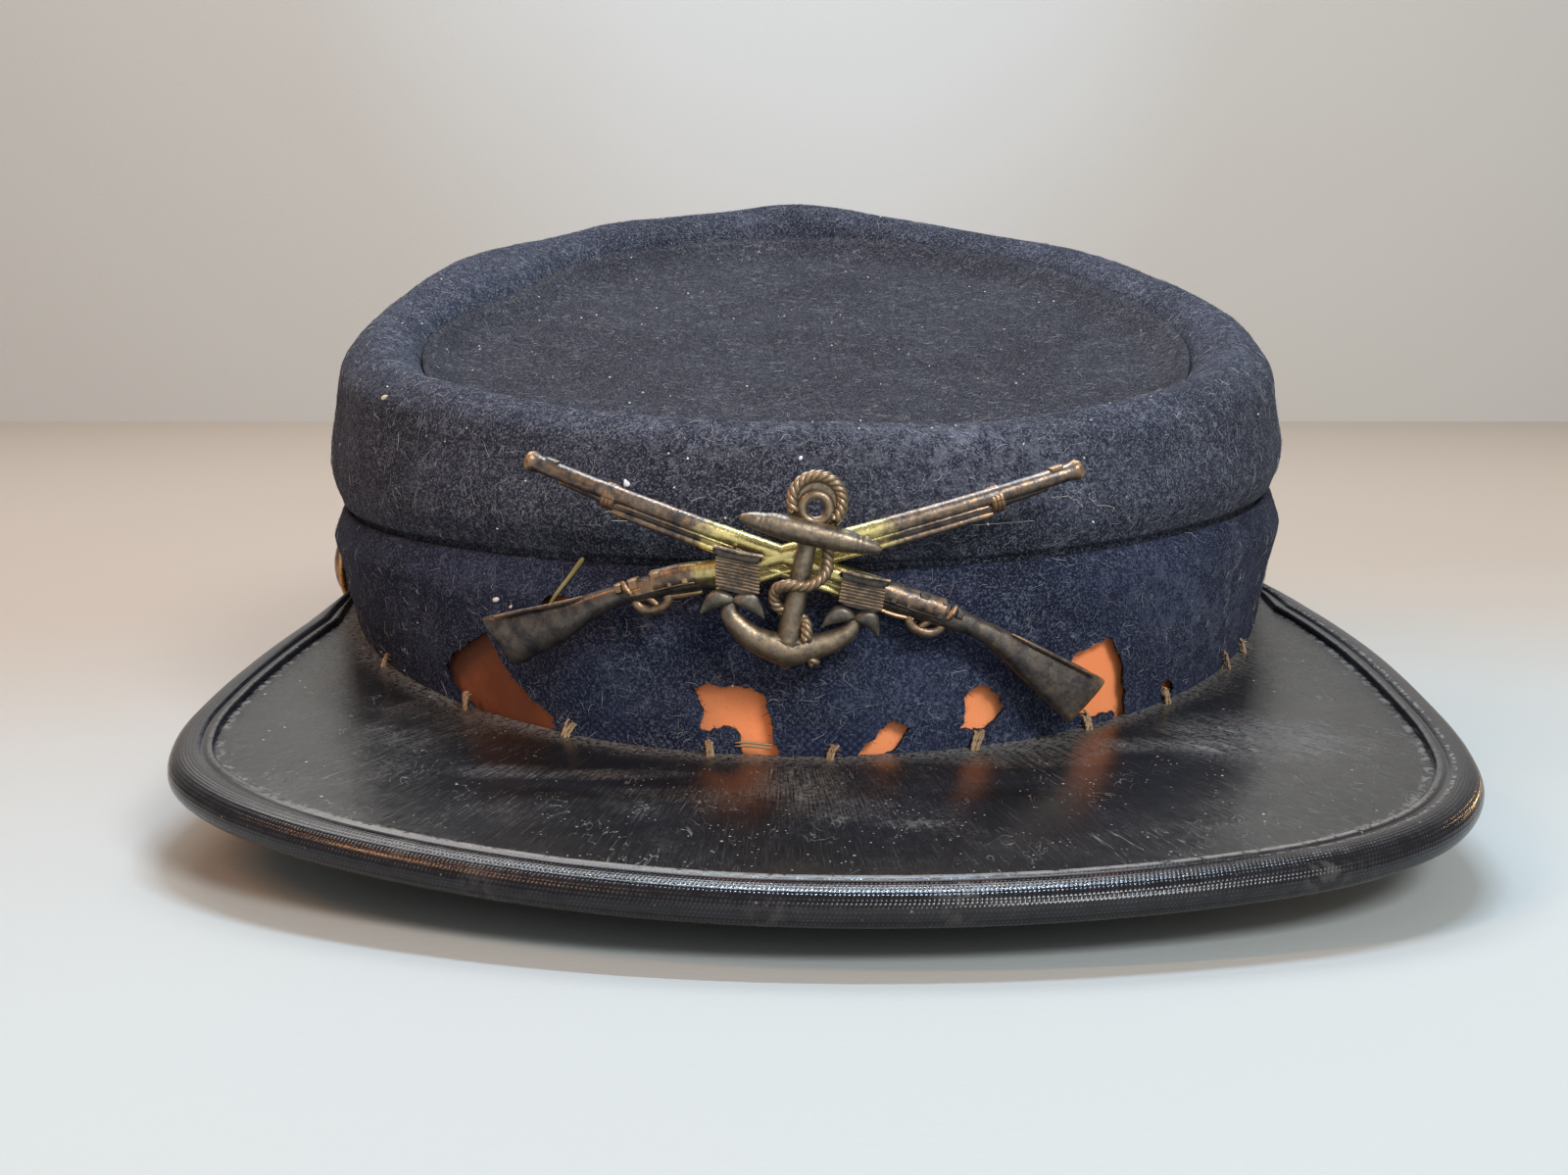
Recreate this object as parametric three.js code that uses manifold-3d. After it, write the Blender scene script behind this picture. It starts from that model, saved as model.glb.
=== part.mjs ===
// A low wool kepi: felt crown and band, enamelled leather peak with a bound rim, two side buttons,
// and a metal badge of crossed rifles with a rope-fouled anchor in front of them.
// Millimetres, +Z up. The peak points to -Y, and +X is on the right of a viewer who faces the peak.
import * as THREE from 'three';
import { mergeVertices } from 'three/addons/utils/BufferGeometryUtils.js';
import Module from 'manifold-3d';

const wasm = await Module();
wasm.setup();

// Driving dimensions. Lengths along Y are measured backwards from the front of the crease.
const gap = 0.3;
const crownFelt = 2.0;
const bandFelt = 1.6;
const stiffenerBoard = 1.2;
const aroundSteps = 52;

// The band's outer face: half width, half length and centre of the head oval at each height.
const bandRows = [
  { height: 0.3, halfWidth: 72.6, halfLength: 92.0, centre: 90.0 },
  { height: 13.0, halfWidth: 73.2, halfLength: 92.5, centre: 90.0 },
  { height: 22.0, halfWidth: 75.2, halfLength: 92.2, centre: 90.2 },
  { height: 32.0, halfWidth: 77.8, halfLength: 91.4, centre: 90.7 },
  { height: 36.4, halfWidth: 76.8, halfLength: 89.3, centre: 91.0 },
];
const creaseRise = { right: 3.4, back: 1.0 };

// The crown wall from the crease, over the rolled edge and down to the sunken top.
// Heights are given at the front, the sides and the back.
const crownRows = [
  { front: 37.1, side: 37.1, back: 37.1, halfWidth: 76.6, halfLength: 88.9, centre: 91, lift: 1, rim: 0, puff: 0 },
  { front: 42, side: 43.5, back: 46, halfWidth: 78.2, halfLength: 90.6, centre: 91, lift: 0.7, rim: 0, puff: 0 },
  { front: 48.5, side: 54, back: 66, halfWidth: 77.3, halfLength: 88.3, centre: 91, lift: 0.2, rim: 0.3, puff: 0 },
  { front: 53, side: 62.1, back: 79.5, halfWidth: 75.9, halfLength: 85.6, centre: 90.5, lift: 0, rim: 0.8, puff: 0 },
  { front: 55, side: 66.6, back: 86.3, halfWidth: 70.8, halfLength: 80.8, centre: 90, lift: 0, rim: 1, puff: 0.2 },
  { front: 51.5, side: 64.6, back: 83.5, halfWidth: 65, halfLength: 75.2, centre: 90, lift: 0, rim: 0.8, puff: 0.7 },
  { front: 42.2, side: 59.2, back: 76.2, halfWidth: 62.4, halfLength: 71, centre: 90, lift: 0, rim: 0, puff: 1 },
];
const crownProfileSteps = 12;

// Soft humps, hollows and thick places along the rolled edge: where, how wide, how high, how far inwards.
const rimDents = [
  { angle: 204, spread: 9, rise: 1.4, inward: 0 },
  { angle: 217, spread: 6, rise: -0.9, inward: 1 },
  { angle: 231, spread: 9, rise: 1.5, inward: 0 },
  { angle: 243, spread: 17, rise: 0.6, inward: 7 },
  { angle: 181, spread: 10, rise: 1.0, inward: 0 },
  { angle: 150, spread: 14, rise: -0.8, inward: 0 },
  { angle: 118, spread: 20, rise: -0.4, inward: 2.4 },
  { angle: 318, spread: 14, rise: 0.8, inward: 0 },
  { angle: 22, spread: 16, rise: -0.7, inward: 0 },
];

// The sunken top slopes down to the front.
const topDisc = { front: 43.2, back: 77.2, halfWidth: 62.0, halfLength: 70.6, centre: 90.0, sag: 1.2 };

// Holes that moths ate through the band cloth, each an outline of [across, height] points.
const mothHoles = [
  [[-51, 19], [-49, 22.5], [-44.2, 25.4], [-40.5, 20.2], [-37, 17.5], [-34.4, 15.4], [-35, 12], [-43, 12],
    [-51.5, 15]],
  [[-15.3, 20.8], [-12.7, 22], [-7.8, 21.3], [-6.3, 20.8], [-5.5, 17.5], [-4, 12], [-8.4, 12], [-9.4, 15.3],
    [-11.5, 16.1], [-13, 15], [-14.4, 15.7], [-14, 18.5]],
  [[5, 12], [8, 15], [10.3, 17.1], [12.5, 16.3], [11.4, 14.2], [9, 12]],
  [[19.8, 20.3], [22.1, 21.2], [24.5, 19.5], [25.2, 17.7], [22.4, 14.9], [19.3, 15.6], [20, 17.6]],
  [[33.8, 22.8], [37.5, 24.7], [40.4, 25.1], [42.8, 20.5], [42.6, 17.5], [43.4, 12], [41.8, 12], [41.4, 14.9],
    [38, 14.7], [35.6, 16], [35, 20]],
  [[-34.6, 29.6], [-33.6, 31], [-31.2, 30.5], [-31, 29]],
];

// The peak: height of its top face at the front of the band, its slope and the droop of its front edge,
// and its outline from the left horn round to the right one.
const peak = {
  topHeight: 13.0, slope: 0.094, droop: 0.0004, thickness: 2.0, hornAngle: 84, acrossSteps: 4, alongSteps: 52,
};
const peakOutline = [
  { across: -76.6, back: 80 },
  { across: -78.6, back: 66 },
  { across: -82.2, back: 42 },
  { across: -84.1, back: 20 },
  { across: -84.0, back: 4 },
  { across: -80.8, back: -9.5 },
  { across: -74.0, back: -19.5 },
  { across: -61.5, back: -30 },
  { across: -42.0, back: -40 },
  { across: -21.0, back: -46.6 },
  { across: 1.0, back: -49.4 },
  { across: 24.0, back: -48.4 },
  { across: 46.0, back: -43.8 },
  { across: 62.5, back: -37.5 },
  { across: 75.0, back: -28 },
  { across: 82.4, back: -15.5 },
  { across: 85.4, back: -1 },
  { across: 86.3, back: 18 },
  { across: 85.8, back: 42 },
  { across: 82.8, back: 66 },
  { across: 79.4, back: 82 },
];

// Section of the leather binding: distance in from the rim, and height from the peak's middle.
const bindingSection = [
  { inward: 6.6, up: 1.3 },
  { inward: 6.4, up: 2.0 },
  { inward: 3.0, up: 2.3 },
  { inward: 1.1, up: 1.8 },
  { inward: 0.1, up: 0.7 },
  { inward: 0.1, up: -0.7 },
  { inward: 1.1, up: -1.8 },
  { inward: 3.0, up: -2.3 },
  { inward: 6.4, up: -2.0 },
  { inward: 6.6, up: -1.3 },
  { inward: 1.7, up: -1.3 },
  { inward: 1.7, up: 1.3 },
];
const bindingWidth = 6.6;
const peakEdgeInward = 2.0;

// The badge hangs in front of the band and is bowed a little around it.
const badge = { back: -3.0, bowRadius: 110 };

// A rifle from muzzle to butt: distance along, top and bottom edge, thickness, and the lean of the end.
const rifleStations = [
  { along: 0, top: 1.0, bottom: -1.0, proud: 1.4, lean: 0 },
  { along: 0.8, top: 1.5, bottom: -1.5, proud: 2.0, lean: 0 },
  { along: 2.6, top: 1.4, bottom: -1.4, proud: 1.9, lean: 0 },
  { along: 4.2, top: 1.1, bottom: -1.1, proud: 1.5, lean: 0 },
  { along: 9.6, top: 1.3, bottom: -1.4, proud: 1.7, lean: 0 },
  { along: 10.0, top: 1.5, bottom: -1.8, proud: 2.0, lean: 0 },
  { along: 12.0, top: 1.5, bottom: -2.1, proud: 2.0, lean: 0 },
  { along: 12.4, top: 1.3, bottom: -2.3, proud: 1.8, lean: 0 },
  { along: 33.6, top: 1.5, bottom: -2.3, proud: 1.8, lean: 0 },
  { along: 48.5, top: 1.7, bottom: -2.1, proud: 1.8, lean: 0 },
  { along: 57.8, top: 1.9, bottom: -1.8, proud: 1.9, lean: 0 },
  { along: 60.5, top: 1.0, bottom: -1.8, proud: 1.7, lean: 0 },
  { along: 66.0, top: 0.9, bottom: -2.7, proud: 1.6, lean: 0 },
  { along: 73.0, top: 0.9, bottom: -4.9, proud: 1.5, lean: -1.0 },
  { along: 81.2, top: 0.2, bottom: -6.7, proud: 1.3, lean: -3.2 },
];
const rifles = [
  { muzzleAcross: -36.8, muzzleHeight: 50.4, fall: 19.4, stockTurn: 6, towards: 1 },
  { muzzleAcross: 34.6, muzzleHeight: 49.3, fall: 15.3, stockTurn: -4, towards: -1 },
];
const wristAlong = 60;
const triggerGuard = { along: 57, below: -1.5, radius: 2.3, wire: 0.45 };
const riflePosts = [{ across: 18, height: 30.4 }, { across: -27, height: 32.0 }];
const postSize = { radius: 0.8, reach: 9.0 };

// The anchor stands in its own upright frame, eye at the origin, and is turned clockwise as a whole.
const anchor = { eyeAcross: 0.3, eyeHeight: 45.1, turn: 12, back: -5.4, shankRadius: 1.25, crownDrop: 19.3 };
const anchorStock = { drop: 2.7, halfLength: 8.9, radius: 1.4 };
const anchorEye = { hole: 1.1, outer: 2.35, depth: 1.8 };
const rope = { radius: 0.8, ringRadius: 3.3, ringRise: 1.2 };
const anchorArms = { endAcross: 7.6, endDrop: 12.0, sweep: 5.9, radius: 1.25 };
const flukeTips = [{ across: 11.2, drop: 15.2 }, { across: 3.7, drop: 14.8 }];
const plate = { across: 8.1, drop: 8.9, width: 6.2, height: 4.6, depth: 1.4, ribs: 5 };
const anchorPost = { across: -2.6, height: 30.4, reach: 10.5 };

const sideButton = { standOff: 1.8, radius: 6.0, dome: 3.0, shankRadius: 1.2, shankReach: 6.4 };
const sideButtons = [
  { name: 'side_button_left', side: -1, back: 91, height: 24.5 },
  { name: 'side_button_right', side: 1, back: 104, height: 24.5 },
];

const degrees = (value) => (value * Math.PI) / 180;
const lerp = (from, to, share) => from + (to - from) * share;

// ---------------------------------------------------------------- closed meshes
// A grid of points [i][j] becomes a closed body: j always runs round a closed section,
// and i either runs round a ring or ends in two flat caps.
function sweptBody(grid, isRing, addEnd = addCap) {
  const sections = grid.length;
  const sides = grid[0].length;
  const positions = grid.flat().flatMap((point) => [point.x, point.y, point.z]);
  const index = [];
  const lastSection = isRing ? sections : sections - 1;
  for (let i = 0; i < lastSection; i += 1) {
    for (let j = 0; j < sides; j += 1) {
      const here = i * sides + j;
      const next = i * sides + ((j + 1) % sides);
      const ahead = ((i + 1) % sections) * sides + j;
      const aheadNext = ((i + 1) % sections) * sides + ((j + 1) % sides);
      index.push(here, ahead, next, next, ahead, aheadNext);
    }
  }
  if (!isRing) {
    addEnd(index, grid[0], 0, false);
    addEnd(index, grid[sections - 1], (sections - 1) * sides, true);
  }
  return outwardGeometry(positions, index);
}

// The cap is cut into triangles in the plane of its own section, all turned the way the section runs.
function addCap(index, section, offset, isFar) {
  const along = section[0].clone().sub(section[Math.floor(section.length / 2)]).normalize();
  const normal = new THREE.Vector3();
  for (let j = 1; j < section.length - 1; j += 1) {
    const first = section[j].clone().sub(section[0]);
    const second = section[j + 1].clone().sub(section[0]);
    normal.add(first.cross(second));
  }
  normal.normalize();
  const across = normal.clone().cross(along);
  const flat = section.map((point) => new THREE.Vector2(point.dot(along), point.dot(across)));
  for (const [a, b, c] of THREE.ShapeUtils.triangulateShape(flat, [])) {
    const runsForward = THREE.ShapeUtils.area([flat[a], flat[b], flat[c]]) > 0;
    const corners = runsForward === isFar ? [a, c, b] : [a, b, c];
    index.push(...corners.map((corner) => offset + corner));
  }
}

// The end of a flat plate: its section is a top row out and a bottom row back, joined pair by pair.
function addPlateEnd(index, section, offset, isFar) {
  const last = section.length - 1;
  for (let k = 0; k < last / 2 - 1; k += 1) {
    const quad = [k, k + 1, last - k - 1, last - k].map((corner) => offset + corner);
    const [a, b, c, d] = isFar ? quad.reverse() : quad;
    index.push(a, b, c, a, c, d);
  }
}

function outwardGeometry(positions, index) {
  const geometry = new THREE.BufferGeometry();
  geometry.setAttribute('position', new THREE.Float32BufferAttribute(positions, 3));
  geometry.setIndex(index);
  if (signedVolume(geometry) < 0) {
    for (let k = 0; k < index.length; k += 3) {
      const swap = index[k];
      index[k] = index[k + 1];
      index[k + 1] = swap;
    }
    geometry.setIndex(index);
  }
  return geometry;
}

function signedVolume(geometry) {
  const position = geometry.getAttribute('position');
  const index = geometry.getIndex();
  const corner = [new THREE.Vector3(), new THREE.Vector3(), new THREE.Vector3()];
  let volume = 0;
  for (let k = 0; k < index.count; k += 3) {
    corner.forEach((vertex, slot) => vertex.fromBufferAttribute(position, index.getX(k + slot)));
    volume += corner[0].dot(corner[1].clone().cross(corner[2])) / 6;
  }
  return volume;
}

function toSolid(geometry) {
  const bare = geometry.clone();
  bare.deleteAttribute('normal');
  bare.deleteAttribute('uv');
  const merged = mergeVertices(bare, 1e-4);
  return new wasm.Manifold(new wasm.Mesh({
    numProp: 3,
    vertProperties: new Float32Array(merged.getAttribute('position').array),
    triVerts: new Uint32Array(merged.getIndex().array),
  }));
}

function fromSolid(solid) {
  const mesh = solid.getMesh();
  const geometry = new THREE.BufferGeometry();
  geometry.setAttribute('position', new THREE.Float32BufferAttribute(mesh.vertProperties, 3));
  geometry.setIndex(Array.from(mesh.triVerts));
  return geometry;
}

function joined(geometries) {
  return geometries.map(toSolid).reduce((whole, piece) => whole.add(piece));
}

// ---------------------------------------------------------------- head ovals
function ovalPoint(size, angle, height) {
  return new THREE.Vector3(
    size.halfWidth * Math.sin(angle),
    size.centre - size.halfLength * Math.cos(angle),
    height,
  );
}

// The oval's outward direction in the horizontal plane.
function ovalOutward(size, angle) {
  return new THREE.Vector3(
    size.halfLength * Math.sin(angle),
    -size.halfWidth * Math.cos(angle),
    0,
  ).normalize();
}

function heightAround(row, angle) {
  const forward = Math.cos(angle);
  const mean = (row.front + row.back) / 2;
  return row.side + ((row.front - row.back) / 2) * forward + (mean - row.side) * forward * forward;
}

// The crease climbs towards the right side and a little towards the back.
function creaseLift(angle) {
  const rightness = Math.max(0, Math.sin(angle));
  const backness = Math.max(0, -Math.cos(angle));
  return creaseRise.right * rightness * rightness + creaseRise.back * backness * backness;
}

// The sum of one column of the dents at an angle: 'rise' or 'inward'.
function rimDent(angle, column) {
  const turn = THREE.MathUtils.euclideanModulo(THREE.MathUtils.radToDeg(angle), 360);
  return rimDents.reduce((sum, dent) => {
    const away = Math.abs(turn - dent.angle);
    const nearest = Math.min(away, 360 - away) / dent.spread;
    return sum + dent[column] * Math.exp(-nearest * nearest);
  }, 0);
}

function bandSize(height) {
  const last = bandRows.length - 1;
  const upper = Math.min(last, Math.max(1, bandRows.findIndex((row) => row.height >= height)));
  const low = bandRows[upper - 1];
  const high = bandRows[upper];
  const share = THREE.MathUtils.clamp((height - low.height) / (high.height - low.height), 0, 1);
  return {
    halfWidth: lerp(low.halfWidth, high.halfWidth, share),
    halfLength: lerp(low.halfLength, high.halfLength, share),
    centre: lerp(low.centre, high.centre, share),
  };
}

// ---------------------------------------------------------------- band
// A wall that follows the band's face, between two depths behind it.
function bandWall(heights, outerDepth, innerDepth, creaseDrop) {
  const topHeight = heights[heights.length - 1];
  const grid = [];
  for (let i = 0; i < aroundSteps; i += 1) {
    const angle = (2 * Math.PI * i) / aroundSteps;
    const face = (height, depth) => {
      const size = bandSize(height);
      const lifted = height + (creaseLift(angle) * Math.max(0, height - 13)) / (topHeight + creaseDrop - 13);
      const point = ovalPoint(size, angle, lifted);
      return point.addScaledVector(ovalOutward(size, angle), -depth);
    };
    const outer = heights.map((height) => face(height, outerDepth));
    const inner = heights.map((height) => face(height, innerDepth)).reverse();
    grid.push([...outer, ...inner]);
  }
  return sweptBody(grid, true);
}

function mothCutter(outline) {
  const shape = new THREE.Shape(outline.map(([across, height]) => new THREE.Vector2(across, height)));
  const cutter = new THREE.ExtrudeGeometry(shape, { depth: 60, bevelEnabled: false });
  cutter.rotateX(Math.PI / 2);
  cutter.translate(0, 50, 0);
  return toSolid(cutter);
}

function postHole({ across, height }) {
  const radius = postSize.radius + gap;
  const hole = new THREE.CylinderGeometry(radius, radius, 40, 12);
  hole.translate(across, 10, height);
  return toSolid(hole);
}

function withPostHoles(solid) {
  return [
    ...[...riflePosts, anchorPost].map(postHole),
    ...sideButtons.map(buttonShankHole),
  ].reduce((wall, hole) => wall.subtract(hole), solid);
}

// Where a button's shank meets the face of the band.
function buttonSeat({ side, back, height }) {
  const size = bandSize(height);
  const share = (back - size.centre) / size.halfLength;
  return new THREE.Vector3(side * size.halfWidth * Math.sqrt(1 - share * share), back, height);
}

function buttonShankHole(button) {
  const radius = sideButton.shankRadius + gap;
  const hole = new THREE.CylinderGeometry(radius, radius, 30, 12);
  const seat = buttonSeat(button);
  hole.rotateZ(Math.PI / 2);
  hole.translate(seat.x, seat.y, seat.z);
  return toSolid(hole);
}

function bandCloth() {
  const wall = bandWall(bandRows.map((row) => row.height), 0, bandFelt, 0);
  const eaten = mothHoles.reduce((cloth, outline) => cloth.subtract(mothCutter(outline)), toSolid(wall));
  return fromSolid(withPostHoles(eaten));
}

function bandStiffener() {
  const outerDepth = bandFelt + gap;
  const wall = bandWall([0, 13, 22, 32, 35], outerDepth, outerDepth + stiffenerBoard, 1.4);
  return fromSolid(withPostHoles(toSolid(wall)));
}

// ---------------------------------------------------------------- crown
function crownPath(angle) {
  return new THREE.CatmullRomCurve3(crownRows.map((row) => {
    const height = heightAround(row, angle) + row.lift * creaseLift(angle) + row.rim * rimDent(angle, 'rise');
    const point = ovalPoint(row, angle, height);
    return point.addScaledVector(ovalOutward(row, angle), -row.puff * rimDent(angle, 'inward'));
  }), false, 'centripetal');
}

function crownSide() {
  const nudge = 0.01;
  const grid = [];
  for (let i = 0; i < aroundSteps; i += 1) {
    const angle = (2 * Math.PI * i) / aroundSteps;
    const path = crownPath(angle);
    const besidePath = crownPath(angle + nudge);
    const outer = [];
    const inner = [];
    for (let j = 0; j <= crownProfileSteps; j += 1) {
      const share = j / crownProfileSteps;
      const point = path.getPoint(share);
      const beside = besidePath.getPoint(share).sub(point);
      const outward = beside.cross(path.getTangent(share)).normalize();
      outer.push(point);
      inner.unshift(point.clone().addScaledVector(outward, -crownFelt));
    }
    grid.push([...outer, ...inner]);
  }
  return sweptBody(grid, true);
}

function discHeight(share, angle) {
  const mean = (topDisc.front + topDisc.back) / 2;
  const slope = (topDisc.back - topDisc.front) / 2;
  return mean - share * slope * Math.cos(angle) - topDisc.sag * (1 - share * share);
}

// Rings of the top face run outwards from the middle, those of the underside run back in.
function topDiscBody() {
  const shares = [0, 0.5, 0.85, 1];
  const grid = [];
  for (let i = 0; i < aroundSteps; i += 1) {
    const angle = (2 * Math.PI * i) / aroundSteps;
    const at = (share, drop) => {
      const size = {
        halfWidth: share * topDisc.halfWidth,
        halfLength: share * topDisc.halfLength,
        centre: topDisc.centre,
      };
      const point = ovalPoint(size, angle, discHeight(share, angle) - drop);
      return point.addScaledVector(ovalOutward(topDisc, angle), -share * rimDent(angle, 'inward'));
    };
    const upper = shares.map((share) => at(share, 0));
    const lower = shares.map((share) => at(share, crownFelt)).reverse();
    grid.push([...upper, ...lower]);
  }
  return fromSolid(toSolid(sweptBody(grid, true)));
}

// ---------------------------------------------------------------- peak
const peakTop = (back) => peak.topHeight + peak.slope * back - peak.droop * Math.min(0, back) ** 2;

function peakRim() {
  const points = peakOutline.map(({ across, back }) => new THREE.Vector3(across, back, 0));
  return new THREE.CatmullRomCurve3(points, false, 'centripetal');
}

// Spokes run from the rim to the foot of the band, from the left horn to the right one.
function peakSpokes() {
  const rim = peakRim();
  const spokes = [];
  for (let i = 0; i <= peak.alongSteps; i += 1) {
    const share = i / peak.alongSteps;
    const angle = degrees(lerp(-peak.hornAngle, peak.hornAngle, share));
    const outer = rim.getPointAt(share);
    const footHeight = peakTop(ovalPoint(bandSize(peak.topHeight), angle, 0).y);
    const size = bandSize(footHeight);
    const inner = ovalPoint(size, angle, 0).addScaledVector(ovalOutward(size, angle), gap + 0.15);
    const width = outer.distanceTo(inner);
    spokes.push({ outer, inward: inner.sub(outer).normalize(), width });
  }
  return spokes;
}

const bindingShare = (width) => Math.min(1, (0.62 * width) / bindingWidth);

function spokePoint(spoke, inward, up) {
  const point = spoke.outer.clone().addScaledVector(spoke.inward, inward);
  point.z = peakTop(point.y) - peak.thickness / 2 + up;
  return point;
}

function peakPlate() {
  const half = peak.thickness / 2;
  const grid = peakSpokes().map((spoke) => {
    const start = peakEdgeInward * bindingShare(spoke.width);
    const stations = [];
    for (let j = 0; j <= peak.acrossSteps; j += 1) {
      stations.push(lerp(start, spoke.width, j / peak.acrossSteps));
    }
    const upper = stations.map((inward) => spokePoint(spoke, inward, half));
    const lower = stations.map((inward) => spokePoint(spoke, inward, -half)).reverse();
    return [...upper, ...lower];
  });
  return sweptBody(grid, false, addPlateEnd);
}

function peakBinding() {
  const grid = peakSpokes().map((spoke) => bindingSection.map(({ inward, up }) => (
    spokePoint(spoke, inward * bindingShare(spoke.width), up))));
  return sweptBody(grid, false);
}

// ---------------------------------------------------------------- badge
// The badge is worked flat, X across and Z up with its front to -Y, and then bowed round the band.
function bowed(geometry) {
  const position = geometry.getAttribute('position');
  for (let k = 0; k < position.count; k += 1) {
    const turn = position.getX(k) / badge.bowRadius;
    const reach = badge.bowRadius - (position.getY(k) - badge.back);
    const across = reach * Math.sin(turn);
    const back = badge.back + badge.bowRadius - reach * Math.cos(turn);
    position.setXY(k, across, back);
  }
  return geometry;
}

// A point of a rifle: along from its muzzle, up from its barrel, proud of its flat back.
// Behind the wrist the stock turns down by its own angle.
function onRifle(rifle, along, barrelRise, proud) {
  const fall = degrees(rifle.fall);
  const rise = barrelRise - Math.max(0, along - wristAlong) * Math.tan(degrees(rifle.stockTurn));
  return new THREE.Vector3(
    rifle.muzzleAcross + rifle.towards * (along * Math.cos(fall) + rise * Math.sin(fall)),
    badge.back - proud,
    rifle.muzzleHeight - along * Math.sin(fall) + rise * Math.cos(fall),
  );
}

function rifleBody(rifle) {
  const grid = rifleStations.map(({ along, top, bottom, proud, lean }) => {
    const quarter = (top - bottom) / 4;
    const slant = (rise) => along + (lean * (top - rise)) / (top - bottom);
    const sides = [
      [bottom, 0], [bottom, 0.45 * proud], [bottom + quarter, proud],
      [top - quarter, proud], [top, 0.45 * proud], [top, 0],
    ];
    return sides.map(([rise, depth]) => onRifle(rifle, slant(rise), rise, depth));
  });
  return bowed(sweptBody(grid, false));
}

function roundBar(points, radius, steps, sides) {
  const section = new THREE.Shape();
  for (let k = 0; k < sides; k += 1) {
    const turn = (2 * Math.PI * k) / sides;
    section[k === 0 ? 'moveTo' : 'lineTo'](radius * Math.cos(turn), radius * Math.sin(turn));
  }
  section.closePath();
  const path = new THREE.CatmullRomCurve3(points, false, 'centripetal');
  return new THREE.ExtrudeGeometry(section, { steps, bevelEnabled: false, extrudePath: path });
}

function guardBar(rifle) {
  const points = [];
  for (let k = 0; k <= 6; k += 1) {
    const turn = Math.PI * (k / 6);
    const along = triggerGuard.along + triggerGuard.radius * Math.cos(turn);
    const rise = triggerGuard.below + 0.4 - 0.85 * triggerGuard.radius * Math.sin(turn);
    points.push(onRifle(rifle, along, rise, 0.7));
  }
  return bowed(roundBar(points, triggerGuard.wire, 12, 6));
}

// A round fixing post that runs straight back through the cloth and the board.
function post({ across, height }, start, reach) {
  const bar = new THREE.CylinderGeometry(postSize.radius, postSize.radius, reach, 12);
  bar.translate(across, start + reach / 2, height);
  return bar;
}

function riflePostBar(place) {
  const bowDepth = badge.bowRadius * (1 - Math.cos(place.across / badge.bowRadius));
  return post(place, badge.back + bowDepth - 0.6, postSize.reach);
}

function crossedRifles() {
  const pieces = [...rifles.map(rifleBody), ...rifles.map(guardBar), ...riflePosts.map(riflePostBar)];
  return fromSolid(joined(pieces));
}

// Points of the anchor in its upright frame: across, up and how far in front of its back plane.
function onAnchor(across, up, proud) {
  const turn = degrees(-anchor.turn);
  return new THREE.Vector3(
    anchor.eyeAcross + across * Math.cos(turn) - up * Math.sin(turn),
    anchor.back - proud,
    anchor.eyeHeight + across * Math.sin(turn) + up * Math.cos(turn),
  );
}

function settleOnAnchor(geometry, across, up, proud) {
  const place = onAnchor(across, up, proud);
  geometry.rotateY(degrees(anchor.turn));
  geometry.translate(place.x, place.y, place.z);
  return geometry;
}

function anchorStockBody() {
  const { halfLength, radius } = anchorStock;
  const profile = [
    [0, -halfLength], [0.35, -halfLength + 0.1], [0.95, -halfLength + 2.4], [1.15, -halfLength + 2.6],
    [1.15, -halfLength + 3.1], [radius, -halfLength + 4.2], [radius, halfLength - 4.2],
    [1.15, halfLength - 3.1], [1.15, halfLength - 2.6], [0.95, halfLength - 2.4], [0.35, halfLength - 0.1],
    [0, halfLength],
  ].map(([x, y]) => new THREE.Vector2(x, y));
  const stock = new THREE.LatheGeometry(profile, 14);
  stock.rotateZ(Math.PI / 2);
  return settleOnAnchor(stock, 0, -anchorStock.drop, 2.6);
}

function anchorEyeBody() {
  const { hole, outer, depth } = anchorEye;
  const profile = [
    [hole, -0.3 * depth], [hole + 0.4, -0.5 * depth], [outer - 0.3, -0.5 * depth], [outer, -0.2 * depth],
    [outer, 0.2 * depth], [outer - 0.3, 0.5 * depth], [hole + 0.4, 0.5 * depth], [hole, 0.3 * depth],
    [hole, -0.3 * depth],
  ].map(([x, y]) => new THREE.Vector2(x, y));
  return settleOnAnchor(new THREE.LatheGeometry(profile, 20), 0, 0, 1.3);
}

function anchorShank() {
  const { shankRadius, crownDrop } = anchor;
  const bar = new THREE.CylinderGeometry(shankRadius * 0.9, shankRadius * 1.15, crownDrop - 3, 12);
  bar.rotateX(Math.PI / 2);
  return settleOnAnchor(bar, 0, -(crownDrop + 0.6) / 2, shankRadius);
}

function anchorArmsBody() {
  const { endAcross, endDrop, sweep, radius } = anchorArms;
  const points = [
    onAnchor(-endAcross, -endDrop, radius),
    onAnchor(-endAcross * 0.86, -endDrop - 0.52 * sweep, radius),
    onAnchor(-endAcross * 0.45, -endDrop - 0.9 * sweep, radius),
    onAnchor(0, -endDrop - sweep, radius),
    onAnchor(endAcross * 0.45, -endDrop - 0.9 * sweep, radius),
    onAnchor(endAcross * 0.86, -endDrop - 0.52 * sweep, radius),
    onAnchor(endAcross, -endDrop, radius),
  ];
  return roundBar(points, radius, 18, 8);
}

function anchorCrownTip() {
  const tip = new THREE.ConeGeometry(1.5, 2.8, 8);
  tip.rotateX(-Math.PI / 2);
  return settleOnAnchor(tip, 0, -anchor.crownDrop, anchorArms.radius);
}

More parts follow.
